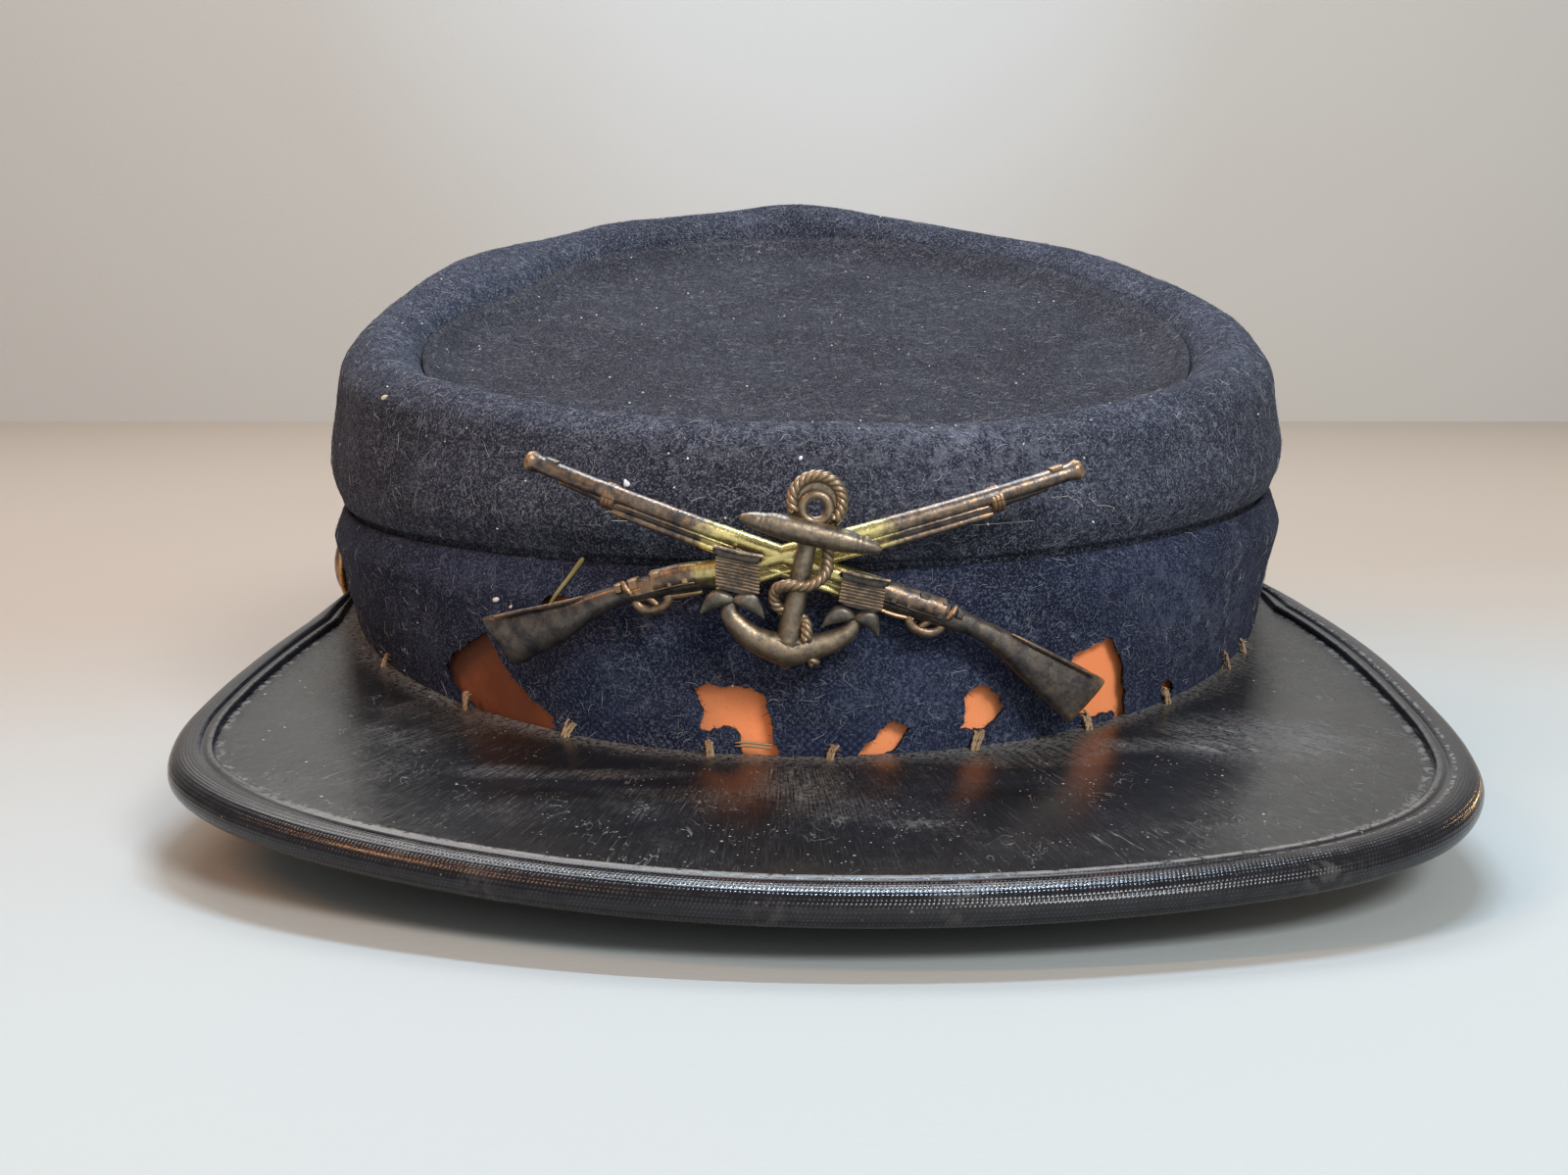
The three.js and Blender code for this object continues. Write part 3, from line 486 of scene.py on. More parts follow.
def enamelFinish():
    settings = enamelSettings
    material, surface, place, uv = startMaterial("blackEnamel", **{
        "IOR": 1.5, "Specular IOR Level": 0.44})
    inward = place.node("ShaderNodeAttribute", {"attribute_name": "inward"}, {}, 2)
    fromFoot = place.node("ShaderNodeAttribute", {"attribute_name": "fromFoot"}, {}, 2)
    streaks = uv.stretched((9000, 260, 1)).noise(1.0, 2.0, 0.6)
    fineStreaks = uv.stretched((3800, 120, 1), (3, 5, 0)).noise(1.0, 3.0, 0.7)
    grime = place.noise(42.0, 4.0, 0.65)
    haze = 0.0
    for across, back, wide, deep, strength in settings["scuffs"]:
        near = place.spot(toRow @ Vector((across, back, 0)), (wide, deep), (0, 1))
        haze = near.between(0.0, 1.3, strength, 0.0) + haze
    haze = haze * fineStreaks.between(0.35, 0.62) * grime.between(0.32, 0.55)
    foot = fromFoot.between(7.0, 0.0) ** 1.6
    powder = place.noise(1500.0, 4.0, 0.75)
    specks = place.cells(1050.0).between(0.08, 0.16, 1.0, 0.0) * place.noise(230.0, 2.0).between(0.50, 0.62)
    specks = specks * place.part(0).maths("ABSOLUTE").between(0.035, 0.065, 1.0, 0.3)
    crumbs = place.cells(360.0).between(0.04, 0.09, 1.0, 0.0) * place.noise(90.0).between(0.48, 0.58)
    lines = uv.stretched((420, 60, 1), (1, 2, 0), (0, 0, 0.5)).hairs(1.0, 0.010)
    lines = lines * place.noise(50.0).between(0.50, 0.62)
    finer = place.stretched((1, 0.4, 1), (3, 1, 2), (0, 0, -0.7)).hairs(260.0, 0.012)
    lines = lines + finer * place.noise(150.0).between(0.56, 0.66)
    dust = (haze * powder.between(0.30, 0.62) + foot * powder.between(0.36, 0.60) * 0.75 + lines * 0.45
            + grime.between(0.46, 0.74) * powder.between(0.42, 0.66) * 0.16
            + fineStreaks.between(0.54, 0.74) * 0.13)
    seamDust = (inward - 7.7).maths("ABSOLUTE").between(1.1, 0.2)
    seamDust = seamDust * place.noise(620.0, 4.0, 0.7).between(0.48, 0.62)
    dust = (dust + seamDust * 0.5).maths("MINIMUM", 0.85)
    base = grime.tint(*settings["black"]).mix(dust, settings["dust"])
    base = base.mix(specks.maths("MAXIMUM", crumbs), settings["specks"])
    join(base, surface, "Base Color")
    join(streaks.between(0.3, 0.75, 0.15, 0.28) + dust * 0.5, surface, "Roughness")
    relief = streaks * 0.35 + fineStreaks * 0.6 + place.noise(150.0, 2.0) * 2.0 - lines * 0.8
    join(relief.bump(0.000075, 0.7), surface, "Normal")
    return material


def bindingFinish():
    # v of the piece's own map runs round the section in metres, u along the rim in metres
    material, surface, place, uv = startMaterial("boundRim", **{
        "IOR": 1.5, "Specular IOR Level": 0.36})
    along, around = uv.part(0), uv.part(1)
    pitch = bindingSettings["grain"]
    weft = (along * (2 * pi / pitch) + (around * (pi / pitch))).maths("SINE")
    warp = (around * (2 * pi / (pitch * 0.9))).maths("SINE")
    grain = (weft * 0.5 + 0.5) * (warp * 0.5 + 0.5)
    uneven = place.noise(650.0, 2.0)
    rimness = around.between(0.0026, 0.0056, 0.3, 1.0)
    grime = place.noise(60.0, 4.0, 0.6)
    dustLine = (around - bindingSettings["dustAt"] * mm).maths("ABSOLUTE")
    dustLine = dustLine.between(0.00015, 0.00070, 1.0, 0.0)
    frontness = place.part(1).between(-0.075, -0.105)
    dustLine = dustLine * place.noise(900.0, 4.0, 0.75).between(0.36, 0.52) * (frontness * 0.75 + 0.25)
    dotted = (around - 0.0036).maths("ABSOLUTE").between(0.0001, 0.0005, 1.0, 0.0)
    dotted = dotted * place.noise(1300.0, 2.0).between(0.48, 0.58)
    dotted = dotted * place.part(0).between(0.02, 0.06) * 0.6
    specks = place.cells(700.0).between(0.05, 0.14, 1.0, 0.0) * place.noise(240.0).between(0.54, 0.6)
    scuff = grime.between(0.58, 0.76) * uneven.between(0.45, 0.6) * 0.22
    dust = (dustLine * 0.8 + dotted + specks * 0.6 + scuff).maths("MINIMUM", 0.9)
    base = grime.tint(*bindingSettings["black"]).mix(dust, bindingSettings["dust"])
    base = base.mix(grain * rimness * uneven.between(0.3, 0.6) * 0.5, bindingSettings["sheen"])
    join(base, surface, "Base Color")
    join(dust * 0.5 + uneven.between(0.3, 0.7, 0.13, 0.20), surface, "Roughness")
    height = grain * rimness + uneven * 0.8 + place.noise(2100.0, 2.0) * rimness * 0.5
    join(height.bump(0.000034, 1.0), surface, "Normal")
    return material


metalSettings = {
    # rubbed: (across, up, radius in mm, colour) of a spot that is polished bare
    "gunMetal": {"dark": (0.060, 0.058, 0.062), "mid": (0.170, 0.145, 0.125), "bright": (0.40, 0.245, 0.135),
                 "roughness": 0.34, "rubbed": (-2.0, 39.6, 13.0, (0.86, 0.72, 0.30))},
    "castBronze": {"dark": (0.10, 0.092, 0.080), "mid": (0.215, 0.185, 0.145), "bright": (0.36, 0.26, 0.16),
                   "roughness": 0.38, "rubbed": None},
    "plateBronze": {"dark": (0.050, 0.047, 0.045), "mid": (0.115, 0.098, 0.082), "bright": (0.46, 0.31, 0.19),
                    "roughness": 0.40, "rubbed": None},
    "darkBrass": {"dark": (0.10, 0.05, 0.02), "mid": (0.28, 0.14, 0.045), "bright": (0.85, 0.42, 0.12),
                  "roughness": 0.26, "rubbed": None},
}


def metalFinish(name):
    settings = metalSettings[name]
    material, surface, place, _ = startMaterial(name, **{"Metallic": 0.9})
    wear = place.node("ShaderNodeAttribute", {"attribute_name": "wear"}, {}, 2)
    blotch = place.noise(420.0, 4.0, 0.65)
    pits = place.noise(3200.0, 2.0, 0.6)
    long = place.noise(1100.0, 3.0, 0.6)
    base = blotch.between(0.35, 0.65).tint(settings["dark"], settings["mid"])
    edge = (wear * 0.85 + long * 0.60 - 0.22).between(0.50, 0.80)
    base = base.mix(edge * 0.8, settings["bright"])
    base = base.mix(pits.between(0.56, 0.72) * 0.5, settings["dark"])
    roughness = pits.between(0.3, 0.8, settings["roughness"], settings["roughness"] + 0.2)
    if settings["rubbed"]:
        across, up, radius, colour = settings["rubbed"]
        away = place.spot(toRow @ Vector((across, 0, up)), (radius, radius * 0.62))
        bare = (1 - away * 0.8 + (blotch - 0.5) * 1.2 + (wear - 0.5) * 1.4).between(0.15, 0.7)
        base = base.mix(bare, long.tint([c * 0.55 for c in colour], colour))
        roughness = roughness - bare * 0.10
    join(roughness, surface, "Roughness")
    join(base, surface, "Base Color")
    join((long + pits * 0.6).bump(0.00006, 0.7), surface, "Normal")
    return material


strandColours = {  # from the darkest strand to the palest
    "napHair": ((0.045, 0.050, 0.075), (0.52, 0.53, 0.55)),
    "tanThread": ((0.20, 0.12, 0.065), (0.44, 0.30, 0.18)),
    "straw": ((0.30, 0.25, 0.09), (0.42, 0.36, 0.16)),
    "lint": ((0.48, 0.36, 0.18), (0.86, 0.88, 0.90)),
}


def strandFinish(name):
    material, surface, place, _ = startMaterial(name, **{"Roughness": 0.85, "Specular IOR Level": 0.2})
    tone = place.node("ShaderNodeAttribute", {"attribute_name": "tone"}, {}, 2)
    join(tone.tint(*strandColours[name]), surface, "Base Color")
    return material


# the cap's shape

bandSettings = {"felt": 1.6, "columns": 460, "faceRows": 46, "innerRows": 16,
                "board": 1.2, "boardTop": 34.2, "gap": 0.12}
bandRows = [  # height, half width, half length, centre
    (0.3, 72.6, 92.0, 90.0), (13.0, 73.2, 92.5, 90.0), (22.0, 75.2, 92.2, 90.2),
    (32.0, 77.8, 91.4, 90.7), (36.4, 76.8, 89.3, 91.0),
]
creaseRise = {"right": 3.4, "back": 1.0, "from": 13}
crownSettings = {"felt": 2.0, "columns": 400, "faceRows": 66, "innerRows": 26}
crownRows = [  # height at front, side and back, half width, half length, centre, lift, rim, puff
    (36.85, 36.85, 36.85, 76.6, 88.9, 91.0, 1.0, 0.0, 0.0),
    (42.0, 43.5, 46.0, 78.2, 90.6, 91.0, 0.7, 0.0, 0.0),
    (48.5, 54.0, 66.0, 77.3, 88.3, 91.0, 0.2, 0.3, 0.0),
    (53.0, 62.1, 79.5, 75.9, 85.6, 90.5, 0.0, 0.8, 0.0),
    (55.0, 66.6, 86.3, 70.8, 80.8, 90.0, 0.0, 1.0, 0.2),
    (51.5, 64.6, 83.5, 65.0, 75.2, 90.0, 0.0, 0.8, 0.7),
    (42.2, 59.2, 76.2, 62.4, 71.0, 90.0, 0.0, 0.0, 1.0),
]
rimDents = [  # angle, spread, rise, inward
    (204, 8, 0.0, 0), (214, 7, 0.6, 1), (228, 9, -0.2, 0), (243, 17, 2.1, 7), (181, 10, 1.0, 0),
    (150, 17, -1.6, 0), (118, 20, -0.4, 2.4), (318, 14, 0.8, 0), (22, 16, -0.7, 0),
]
topSettings = {"front": 43.2, "back": 77.2, "halfWidth": 62.0, "halfLength": 70.6, "sag": 1.2,
               "felt": 2.0, "columns": 260, "rings": 70, "turnUp": 3.4, "turnOut": 1.5, "turnFrom": 0.91}
mothHoles = [  # outlines of [across, height]
    [(-51, 19), (-49, 22.5), (-44.2, 25.4), (-40.5, 20.2), (-37, 17.5), (-34.4, 15.4), (-35, 12), (-43, 12),
     (-46, 14.0), (-49.6, 16.6)],
    [(-15.3, 20.8), (-12.7, 22), (-7.8, 21.3), (-6.3, 20.8), (-5.5, 17.5), (-4, 12), (-8.4, 12), (-9.4, 15.3),
     (-11.5, 16.1), (-13, 15), (-14.4, 15.7), (-14, 18.5)],
    [(5, 12), (8, 15), (10.3, 17.1), (12.5, 16.3), (11.4, 14.2), (9, 12)],
    [(19.8, 20.3), (22.1, 21.2), (24.5, 19.5), (25.2, 17.7), (22.4, 14.9), (19.3, 15.6), (20, 17.6)],
    [(33.8, 22.8), (37.5, 24.7), (40.4, 25.1), (42.8, 20.5), (42.6, 17.5), (43.4, 12), (41.8, 12),
     (41.4, 14.9), (38, 14.7), (35.6, 16), (35, 20)],
    [(-36.0, 30.3), (-34.5, 32.2), (-32.6, 32.3), (-31.0, 31.3), (-31.0, 29.6)],
    [(48.9, 17.0), (50.3, 18.0), (51.3, 16.4), (50.0, 14.9)],
]


def ovalPoint(halfWidth, halfLength, centre, angle, height):
    return Vector((halfWidth * sin(angle), centre - halfLength * cos(angle), height))


def ovalOutward(halfWidth, halfLength, angle):
    return Vector((halfLength * sin(angle), -halfWidth * cos(angle), 0)).normalized()


def creaseLift(angle):
    return creaseRise["right"] * max(0, sin(angle)) ** 2 + creaseRise["back"] * max(0, -cos(angle)) ** 2


def rimDent(angle, column):
    turn = (angle * 180 / pi) % 360
    total = 0
    for dent in rimDents:
        away = abs(turn - dent[0])
        total += dent[column] * exp(-(min(away, 360 - away) / dent[1]) ** 2)
    return total


def frontDense(share):  # an angle round the cap with the points closer together at the front
    return 2 * pi * (share - 0.5) - 0.4 * sin(2 * pi * (share - 0.5))


def bandFace(angle, height, depth=0.0):
    # The outer face of the band is straight between its rows, eased a little where they meet.
    k = 0
    while k < len(bandRows) - 2 and bandRows[k + 1][0] < height:
        k += 1
    low, high = bandRows[k], bandRows[k + 1]
    share = clamp((height - low[0]) / (high[0] - low[0]))
    halfWidth, halfLength, centre = (lerp(low[i], high[i], share) for i in (1, 2, 3))
    liftFrom = creaseRise["from"]
    lifted = height + creaseLift(angle) * max(0, height - liftFrom) / (bandRows[-1][0] - liftFrom)
    return ovalPoint(halfWidth, halfLength, centre, angle, lifted) - ovalOutward(
        halfWidth, halfLength, angle) * depth


def bandCloth(angle, height, depth=0.0):  # the band's felt with its slight unevenness
    point = bandFace(angle, height, depth)
    soft = 0.30 * ripple(point, 17, 1) + 0.14 * ripple(point, 6, 2) + 0.05 * ripple(point, 2.2, 3)
    swell = 0.35 * exp(-((height - 32.5) / 3.0) ** 2)
    return point + ovalOutward(1, 1.2, angle) * (soft + swell) * smoothStep(0, 4, height)


def closedWall(bm, columns, faceRows, innerRows, outer, thickness, endTurn=5):
    # A wall round the cap: out along outer(angle, share), round its end and back on the inside.
    wall = []
    for i in range(columns):
        angle = frontDense(i / columns)
        face = [outer(angle, j / faceRows) for j in range(faceRows + 1)]
        beside = [outer(angle + 0.01, j / faceRows) for j in range(faceRows + 1)]
        normals = []
        for j in range(faceRows + 1):
            along = face[min(j + 1, faceRows)] - face[max(j - 1, 0)]
            normals.append((beside[j] - face[j]).cross(along).normalized())
        loop = list(face)
        for end, direction in ((faceRows, 1), (0, -1)):
            if direction == -1:
                for j in range(1, innerRows):
                    k = round(faceRows * (1 - j / innerRows))
                    loop.append(face[k] - normals[k] * thickness)
            tangent = (face[end] - face[end - direction]).normalized()
            middle = face[end] - normals[end] * (thickness / 2)
            for step in range(0 if direction == -1 else 1, endTurn + (0 if direction == -1 else 1)):
                turn = pi * step / endTurn
                if direction == 1:
                    offset = normals[end] * cos(turn) + tangent * sin(turn)
                else:
                    offset = normals[end] * -cos(turn) + tangent * sin(turn)
                loop.append(middle + offset * (thickness / 2))
        wall.append(loop)
    rows = len(wall[0])
    mappedGrid(
        bm, columns, rows, lambda u, v: wall[round(u * columns) % columns][round(v * rows) % rows],
        roundColumns=True, roundRows=True)


def bandOuter(angle, share):
    endRound = bandSettings["felt"] / 2
    height = lerp(bandRows[0][0] + endRound, bandRows[-1][0] - endRound * 0.6, share)
    return bandCloth(angle, height)


def boardOuter(angle, share):
    height = lerp(bandSettings["board"] / 2, bandSettings["boardTop"], share)
    return bandFace(angle, max(0.3, height), bandSettings["felt"] + bandSettings["gap"]) + Vector(
        (0, 0, min(0.0, height - 0.3)))


def crownHeight(row, angle):
    front, side, back = row[:3]
    forward = cos(angle)
    return (side + (front - back) / 2 * forward + ((front + back) / 2 - side) * forward ** 2
            + row[6] * creaseLift(angle) + row[7] * rimDent(angle, 2))


crownPaths = {}


def crownOuter(angle, share):
    if angle not in crownPaths:
        crownPaths[angle] = [
            ovalPoint(row[3], row[4], row[5], angle, crownHeight(row, angle))
            - ovalOutward(row[3], row[4], angle) * row[8] * rimDent(angle, 3) for row in crownRows]
    point = splinePoint(crownPaths[angle], lerp(0.028, 0.995, share))
    soft = 0.42 * ripple(point, 19, 4) + 0.20 * ripple(point, 7, 5) + 0.07 * ripple(point, 2.6, 6)
    outward = Vector((point.x / 78, (point.y - 91) / 90, 0.9 * smoothStep(0.3, 0.7, share))).normalized()
    roll = exp(-((share - 0.02) / 0.05) ** 2)
    return point + outward * (soft * smoothStep(0.0, 0.12, share) - 0.15 * roll)


def topPoint(angle, share, drop=0.0):
    settings = topSettings
    mean = (settings["front"] + settings["back"]) / 2
    slope = (settings["back"] - settings["front"]) / 2
    height = mean - share * slope * cos(angle) - settings["sag"] * (1 - share ** 2) - drop
    turned = clamp((share - settings["turnFrom"]) / (1 - settings["turnFrom"])) ** 2
    height += settings["turnUp"] * turned
    reach = settings["turnOut"] * turned
    halfWidth = share * settings["halfWidth"] + reach
    halfLength = share * settings["halfLength"] + reach
    point = ovalPoint(halfWidth, halfLength, headCentreBack, angle, height)
    point -= ovalOutward(settings["halfWidth"], settings["halfLength"], angle) * share * rimDent(angle, 3)
    soft = 0.55 * ripple((point.x, point.y, 0), 26, 7) + 0.16 * ripple((point.x, point.y, 0), 8, 8)
    return point + Vector((0, 0, soft * (1 - smoothStep(0.8, 1.0, share))))


def cutOut(piece, cutters):
    for k, cutter in enumerate(cutters):
        modifier = piece.modifiers.new(f"hole{k}", "BOOLEAN")
        modifier.object = cutter
        modifier.operation = "DIFFERENCE"
        modifier.solver = "EXACT"
    cut = bpy.data.meshes.new_from_object(piece.evaluated_get(bpy.context.evaluated_depsgraph_get()))
    piece.modifiers.clear()
    piece.data = cut
    for cutter in cutters:
        bpy.data.objects.remove(cutter)


def makeCutter(outline, front, back, ragged, seed):
    # an outline of [across, height] pushed through the cloth from front to back, its line made uneven
    corners = [Vector((x, 0, z)) for x, z in outline]
    line = []
    for k, corner in enumerate(corners):
        following = corners[(k + 1) % len(corners)]
        steps = max(2, ceil((following - corner).length / 0.26))
        before, after = corners[k - 1], corners[(k + 2) % len(corners)]
        for s in range(steps):
            t = s / steps
            easy = splinePoint([before, corner, following, after], (1 + t) / 3)
            line.append(corner.lerp(following, t).lerp(easy, 0.55))
    bm = bmesh.new()
    ring = []
    for point in line:
        shift = Vector((ripple(point, 1.1, seed), 0, ripple(point, 1.1, seed + 5))) * ragged
        shift += Vector((ripple(point, 3.1, seed), 0, ripple(point, 3.1, seed + 9))) * ragged * 1.2
        shift += Vector((ripple(point, 0.5, seed), 0, ripple(point, 0.5, seed + 7))) * ragged * 0.4
        ring.append(bm.verts.new(point + shift + Vector((0, front, 0))))
    face = bm.faces.new(ring)
    pushed = bmesh.ops.extrude_face_region(bm, geom=[face])["geom"]
    bmesh.ops.translate(bm, verts=[g for g in pushed if isinstance(g, bmesh.types.BMVert)],
                        vec=(0, back - front, 0))
    bmesh.ops.recalc_face_normals(bm, faces=bm.faces[:])
    bmesh.ops.transform(bm, matrix=toRow, verts=bm.verts[:])
    mesh = bpy.data.meshes.new("cutter")
    bm.to_mesh(mesh)
    bm.free()
    cutter = bpy.data.objects.new("cutter", mesh)
    bpy.context.collection.objects.link(cutter)
    return cutter


def makeBand(felt, board):
    bm = bmesh.new()
    settings = bandSettings
    closedWall(bm, settings["columns"], settings["faceRows"], settings["innerRows"], bandOuter,
               settings["felt"])
    cloth = finishPiece(bm, "bandCloth", ["band_cloth"], felt)
    cutOut(cloth, [makeCutter(outline, -12, 40, 0.42, k + 1) for k, outline in enumerate(mothHoles)])
    bm = bmesh.new()
    bm.from_mesh(cloth.data)
    sharpen(bm, 50)
    bm.to_mesh(cloth.data)
    bm.free()
    bm = bmesh.new()
    closedWall(bm, 300, 20, 8, boardOuter, bandSettings["board"], endTurn=3)
    finishPiece(bm, "bandBoard", ["band_stiffener"], board)
    return cloth


def makeCrown(felt, topFelt):
    bm = bmesh.new()
    settings = crownSettings
    closedWall(bm, settings["columns"], settings["faceRows"], settings["innerRows"], crownOuter,
               settings["felt"])
    # the turned-in edge that the band is sewn to, as heights and depths behind the band's face
    hem = ((35.4, 1.65), (39.6, 1.65), (39.6, 2.35), (35.4, 2.35))
    mappedGrid(bm, 200, len(hem), lambda u, v: bandFace(2 * pi * u, *hem[round(v * len(hem)) % len(hem)]),
               roundColumns=True, roundRows=True)
    wall = finishPiece(bm, "crownWall", ["crown_side"], felt)
    bm = bmesh.new()
    columns, rings = topSettings["columns"], topSettings["rings"]
    for drop in (0.0, topSettings["felt"]):
        mappedGrid(bm, columns, rings, lambda u, v: topPoint(2 * pi * u, v, drop), roundColumns=True)
    rims = [edge for edge in bm.edges if edge.is_boundary]
    bmesh.ops.bridge_loops(bm, edges=rims)
    top = finishPiece(bm, "crownTop", ["top_disc"], topFelt)
    return wall, top


# peak and binding

peakSettings = {"topHeight": 13.0, "slope": 0.094, "droop": 0.0004, "thickness": 2.0, "hornAngle": 84,
                "columns": 420, "rows": 44, "edgeInward": 2.0, "rightHornAngle": 88.5, "pressed": 0.35}
peakOutline = [  # across, back, from the left horn round to the right one
    (-76.6, 80), (-78.6, 66), (-82.2, 42), (-84.1, 20), (-84.0, 4), (-80.8, -9.5), (-74.0, -19.5),
    (-61.5, -30), (-42.0, -40), (-21.0, -46.6), (1.0, -49.4), (24.0, -48.4), (46.0, -43.8), (62.5, -37.5),
    (75.0, -28), (82.4, -15.5), (85.4, -1), (86.3, 18), (85.8, 42), (82.8, 66), (79.6, 80), (76.6, 89),
]
bindingSettings = {
    "grain": 0.00052, "dustAt": 1.35, "inside": [(1.7, -1.3), (1.7, 1.25)],
    "black": ((0.005, 0.005, 0.008), (0.012, 0.010, 0.011)), "dust": (0.25, 0.225, 0.195),
    "sheen": (0.045, 0.050, 0.058),
}
bindingSection = [  # in from the rim, up from the peak's middle; from the inner edge over the rim and under
    (7.0, 1.02), (6.9, 1.60), (6.35, 1.90), (5.7, 1.90), (5.25, 1.68), (4.8, 1.95), (3.6, 2.28), (2.3, 2.22),
    (1.2, 1.86), (0.42, 1.15), (0.1, 0.2), (0.25, -0.85), (1.0, -1.75), (2.4, -2.2), (4.4, -2.25),
    (6.2, -2.05), (6.6, -1.3),
]


def peakTop(back):
    settings = peakSettings
    return settings["topHeight"] + settings["slope"] * back - settings["droop"] * min(0, back) ** 2


def peakSpokes(count):
    rim = evenly([Vector((across, back, 0)) for across, back in peakOutline], count)
    spokes = []
    for i, outer in enumerate(rim):
        angle = radians(lerp(-peakSettings["hornAngle"], peakSettings["rightHornAngle"], i / count))
        footHeight = peakTop(bandFace(angle, peakSettings["topHeight"]).y) - 1
        foot = bandFace(angle, footHeight, peakSettings["pressed"])
        inner = Vector((foot.x, foot.y, 0))
        width = (inner - outer).length
        spokes.append((outer, (inner - outer) / width, width))
    return spokes


def spokePoint(spoke, inward, up):
    outer, direction, _ = spoke
    point = outer + direction * inward
    sway = 0.22 * ripple((point.x, point.y, 0), 34, 11) + 0.06 * ripple((point.x, point.y, 0), 9, 12)
    point.z = peakTop(point.y) - peakSettings["thickness"] / 2 + up + sway * smoothStep(0, 12, inward)
    return point


def bindingShare(width):
    return min(1, 0.62 * width / 6.6)


def makePeak(enamel, bindingLeather):
    count = peakSettings["columns"]
    spokes = peakSpokes(count)
    rimLength = sum((b[0] - a[0]).length for a, b in zip(spokes, spokes[1:]))
    half = peakSettings["thickness"] / 2
    rows = peakSettings["rows"]
    bm = bmesh.new()
    for up in (half, -half):
        def place(u, v):
            spoke = spokes[round(u * count)]
            start = peakSettings["edgeInward"] * bindingShare(spoke[2])
            return spokePoint(spoke, lerp(start, spoke[2], v), up)
        mappedGrid(bm, count, rows, place, uvSize=(rimLength * mm, 0.045), marks={
            "inward": lambda u, v: lerp(peakSettings["edgeInward"], spokes[round(u * count)][2], v),
            "fromFoot": lambda u, v: (1 - v) * spokes[round(u * count)][2]})
    bmesh.ops.bridge_loops(bm, edges=[edge for edge in bm.edges if edge.is_boundary])
    finishPiece(bm, "peakLeather", ["peak"], enamel, smoothAngle=50)

    sides = 46
    section = evenly([Vector((inward, 0, up)) for inward, up in bindingSection], sides)
    sectionLength = sum((b - a).length for a, b in zip(section, section[1:]))
    section += [Vector((inward, 0, up)) for inward, up in bindingSettings["inside"]]
    bm = bmesh.new()

    def placeBinding(u, v):
        spoke = spokes[round(u * count)]
        point = section[round(v * len(section)) % len(section)]
        return spokePoint(spoke, point.x * bindingShare(spoke[2]), point.z)

    faces = mappedGrid(bm, count, len(section), placeBinding, roundRows=True,
                       uvSize=(rimLength * mm, sectionLength * len(section) / sides * mm))
    closeEnds(bm, faces)
    finishPiece(bm, "peakBinding", ["peak_binding"], bindingLeather, smoothAngle=60)


# badge

badgeSettings = {"back": -3.0, "bowRadius": 110.0, "wristAlong": 60.0, "postRadius": 0.8}
rifles = [  # the lock sits a little differently on the two: shift along and hump up
    {"name": "rifleLeft", "muzzle": (-36.8, 50.4), "fall": 19.4, "turn": 6.0, "way": 1,
     "shift": -1.2, "hump": 0.0},
    {"name": "rifleRight", "muzzle": (34.6, 49.3), "fall": 15.3, "turn": -4.0, "way": -1,
     "shift": 1.2, "hump": 0.8},
]
stockStations = [  # along, top, bottom, how proud, lean of the end
    (4.4, 0.5, -0.9, 1.1, 0), (5.0, 0.7, -1.35, 1.45, 0), (9.6, 0.8, -1.5, 1.55, 0),
    (11.0, 0.9, -1.65, 1.6, 0), (12.4, 0.6, -2.0, 1.5, 0), (33.6, 0.6, -2.0, 1.6, 0),
    (42.0, 0.9, -2.1, 1.75, 0), (47.5, 1.25, -2.1, 1.9, 0), (55.5, 1.35, -2.0, 2.0, 0),
    (58.6, 1.1, -1.9, 1.9, 0), (60.5, 0.9, -1.75, 1.75, 0), (63.0, 0.85, -1.95, 1.75, 0),
    (66.0, 0.85, -2.6, 1.75, -0.2), (68.2, 0.60, -3.3, 1.7, -0.5), (73.0, 0.60, -4.9, 1.6, -1.0),
    (77.5, 0.50, -5.9, 1.5, -2.1), (80.6, 0.35, -6.6, 1.35, -3.1), (81.2, 0.2, -6.7, 1.1, -3.2),
]
riflePieces = {  # along and up from the barrel, and proud of the back, in mm
    "bands": [  # along, reach, thickness of the wire, round barrel and stock
        (11.4, 1.36, 0.42), (11.9, 1.34, 0.42), (12.4, 1.30, 0.42), (29.0, 1.50, 0.30), (44.6, 1.55, 0.28)],
    "frontSight": ((2.3, 0.9, 0.6), (4.2, 1.55, 1.6)),
    "rearSight": ((48.9, 0.9, 0.6), (51.6, 1.75, 1.9)),
    "lockPlate": ((49.2, -0.9, 1.2), (59.0, 0.7, 2.25)),
    "lockHumps": [  # bridge, hammer and its spur: along, up, width, height
        (54.6, 1.15, 1.7, 0.9), (57.6, 0.9, 1.6, 1.1), (59.6, 0.75, 1.2, 0.95)],
    "screws": [(51.0, -0.35, 0.42), (53.0, -0.45, 0.3), (57.2, -0.45, 0.45)],  # along, up, half width
    "hammerSpur": ([(58.2, -0.5, 2.1), (58.6, 0.4, 2.3), (58.9, 1.3, 2.0)], [0.40, 0.50, 0.25], 10),
    "trigger": ([(56.4, -1.5, 0.9), (56.0, -2.1, 0.9), (55.6, -2.7, 0.9)], [0.6, 0.5, 0.4], 10),
    "guardTail": ([(49.5, -2.2, 0.9), (52.0, -2.3, 0.9), (54.4, -2.0, 0.9)], [0.25, 0.36, 0.36], 8),
}
riflePosts = [(18, 30.4), (-27, 32.0)]


def bowed(point):
    turn = point.x / badgeSettings["bowRadius"]
    reach = badgeSettings["bowRadius"] - (point.y - badgeSettings["back"])
    return Vector((
        reach * sin(turn), badgeSettings["back"] + badgeSettings["bowRadius"] - reach * cos(turn), point.z))


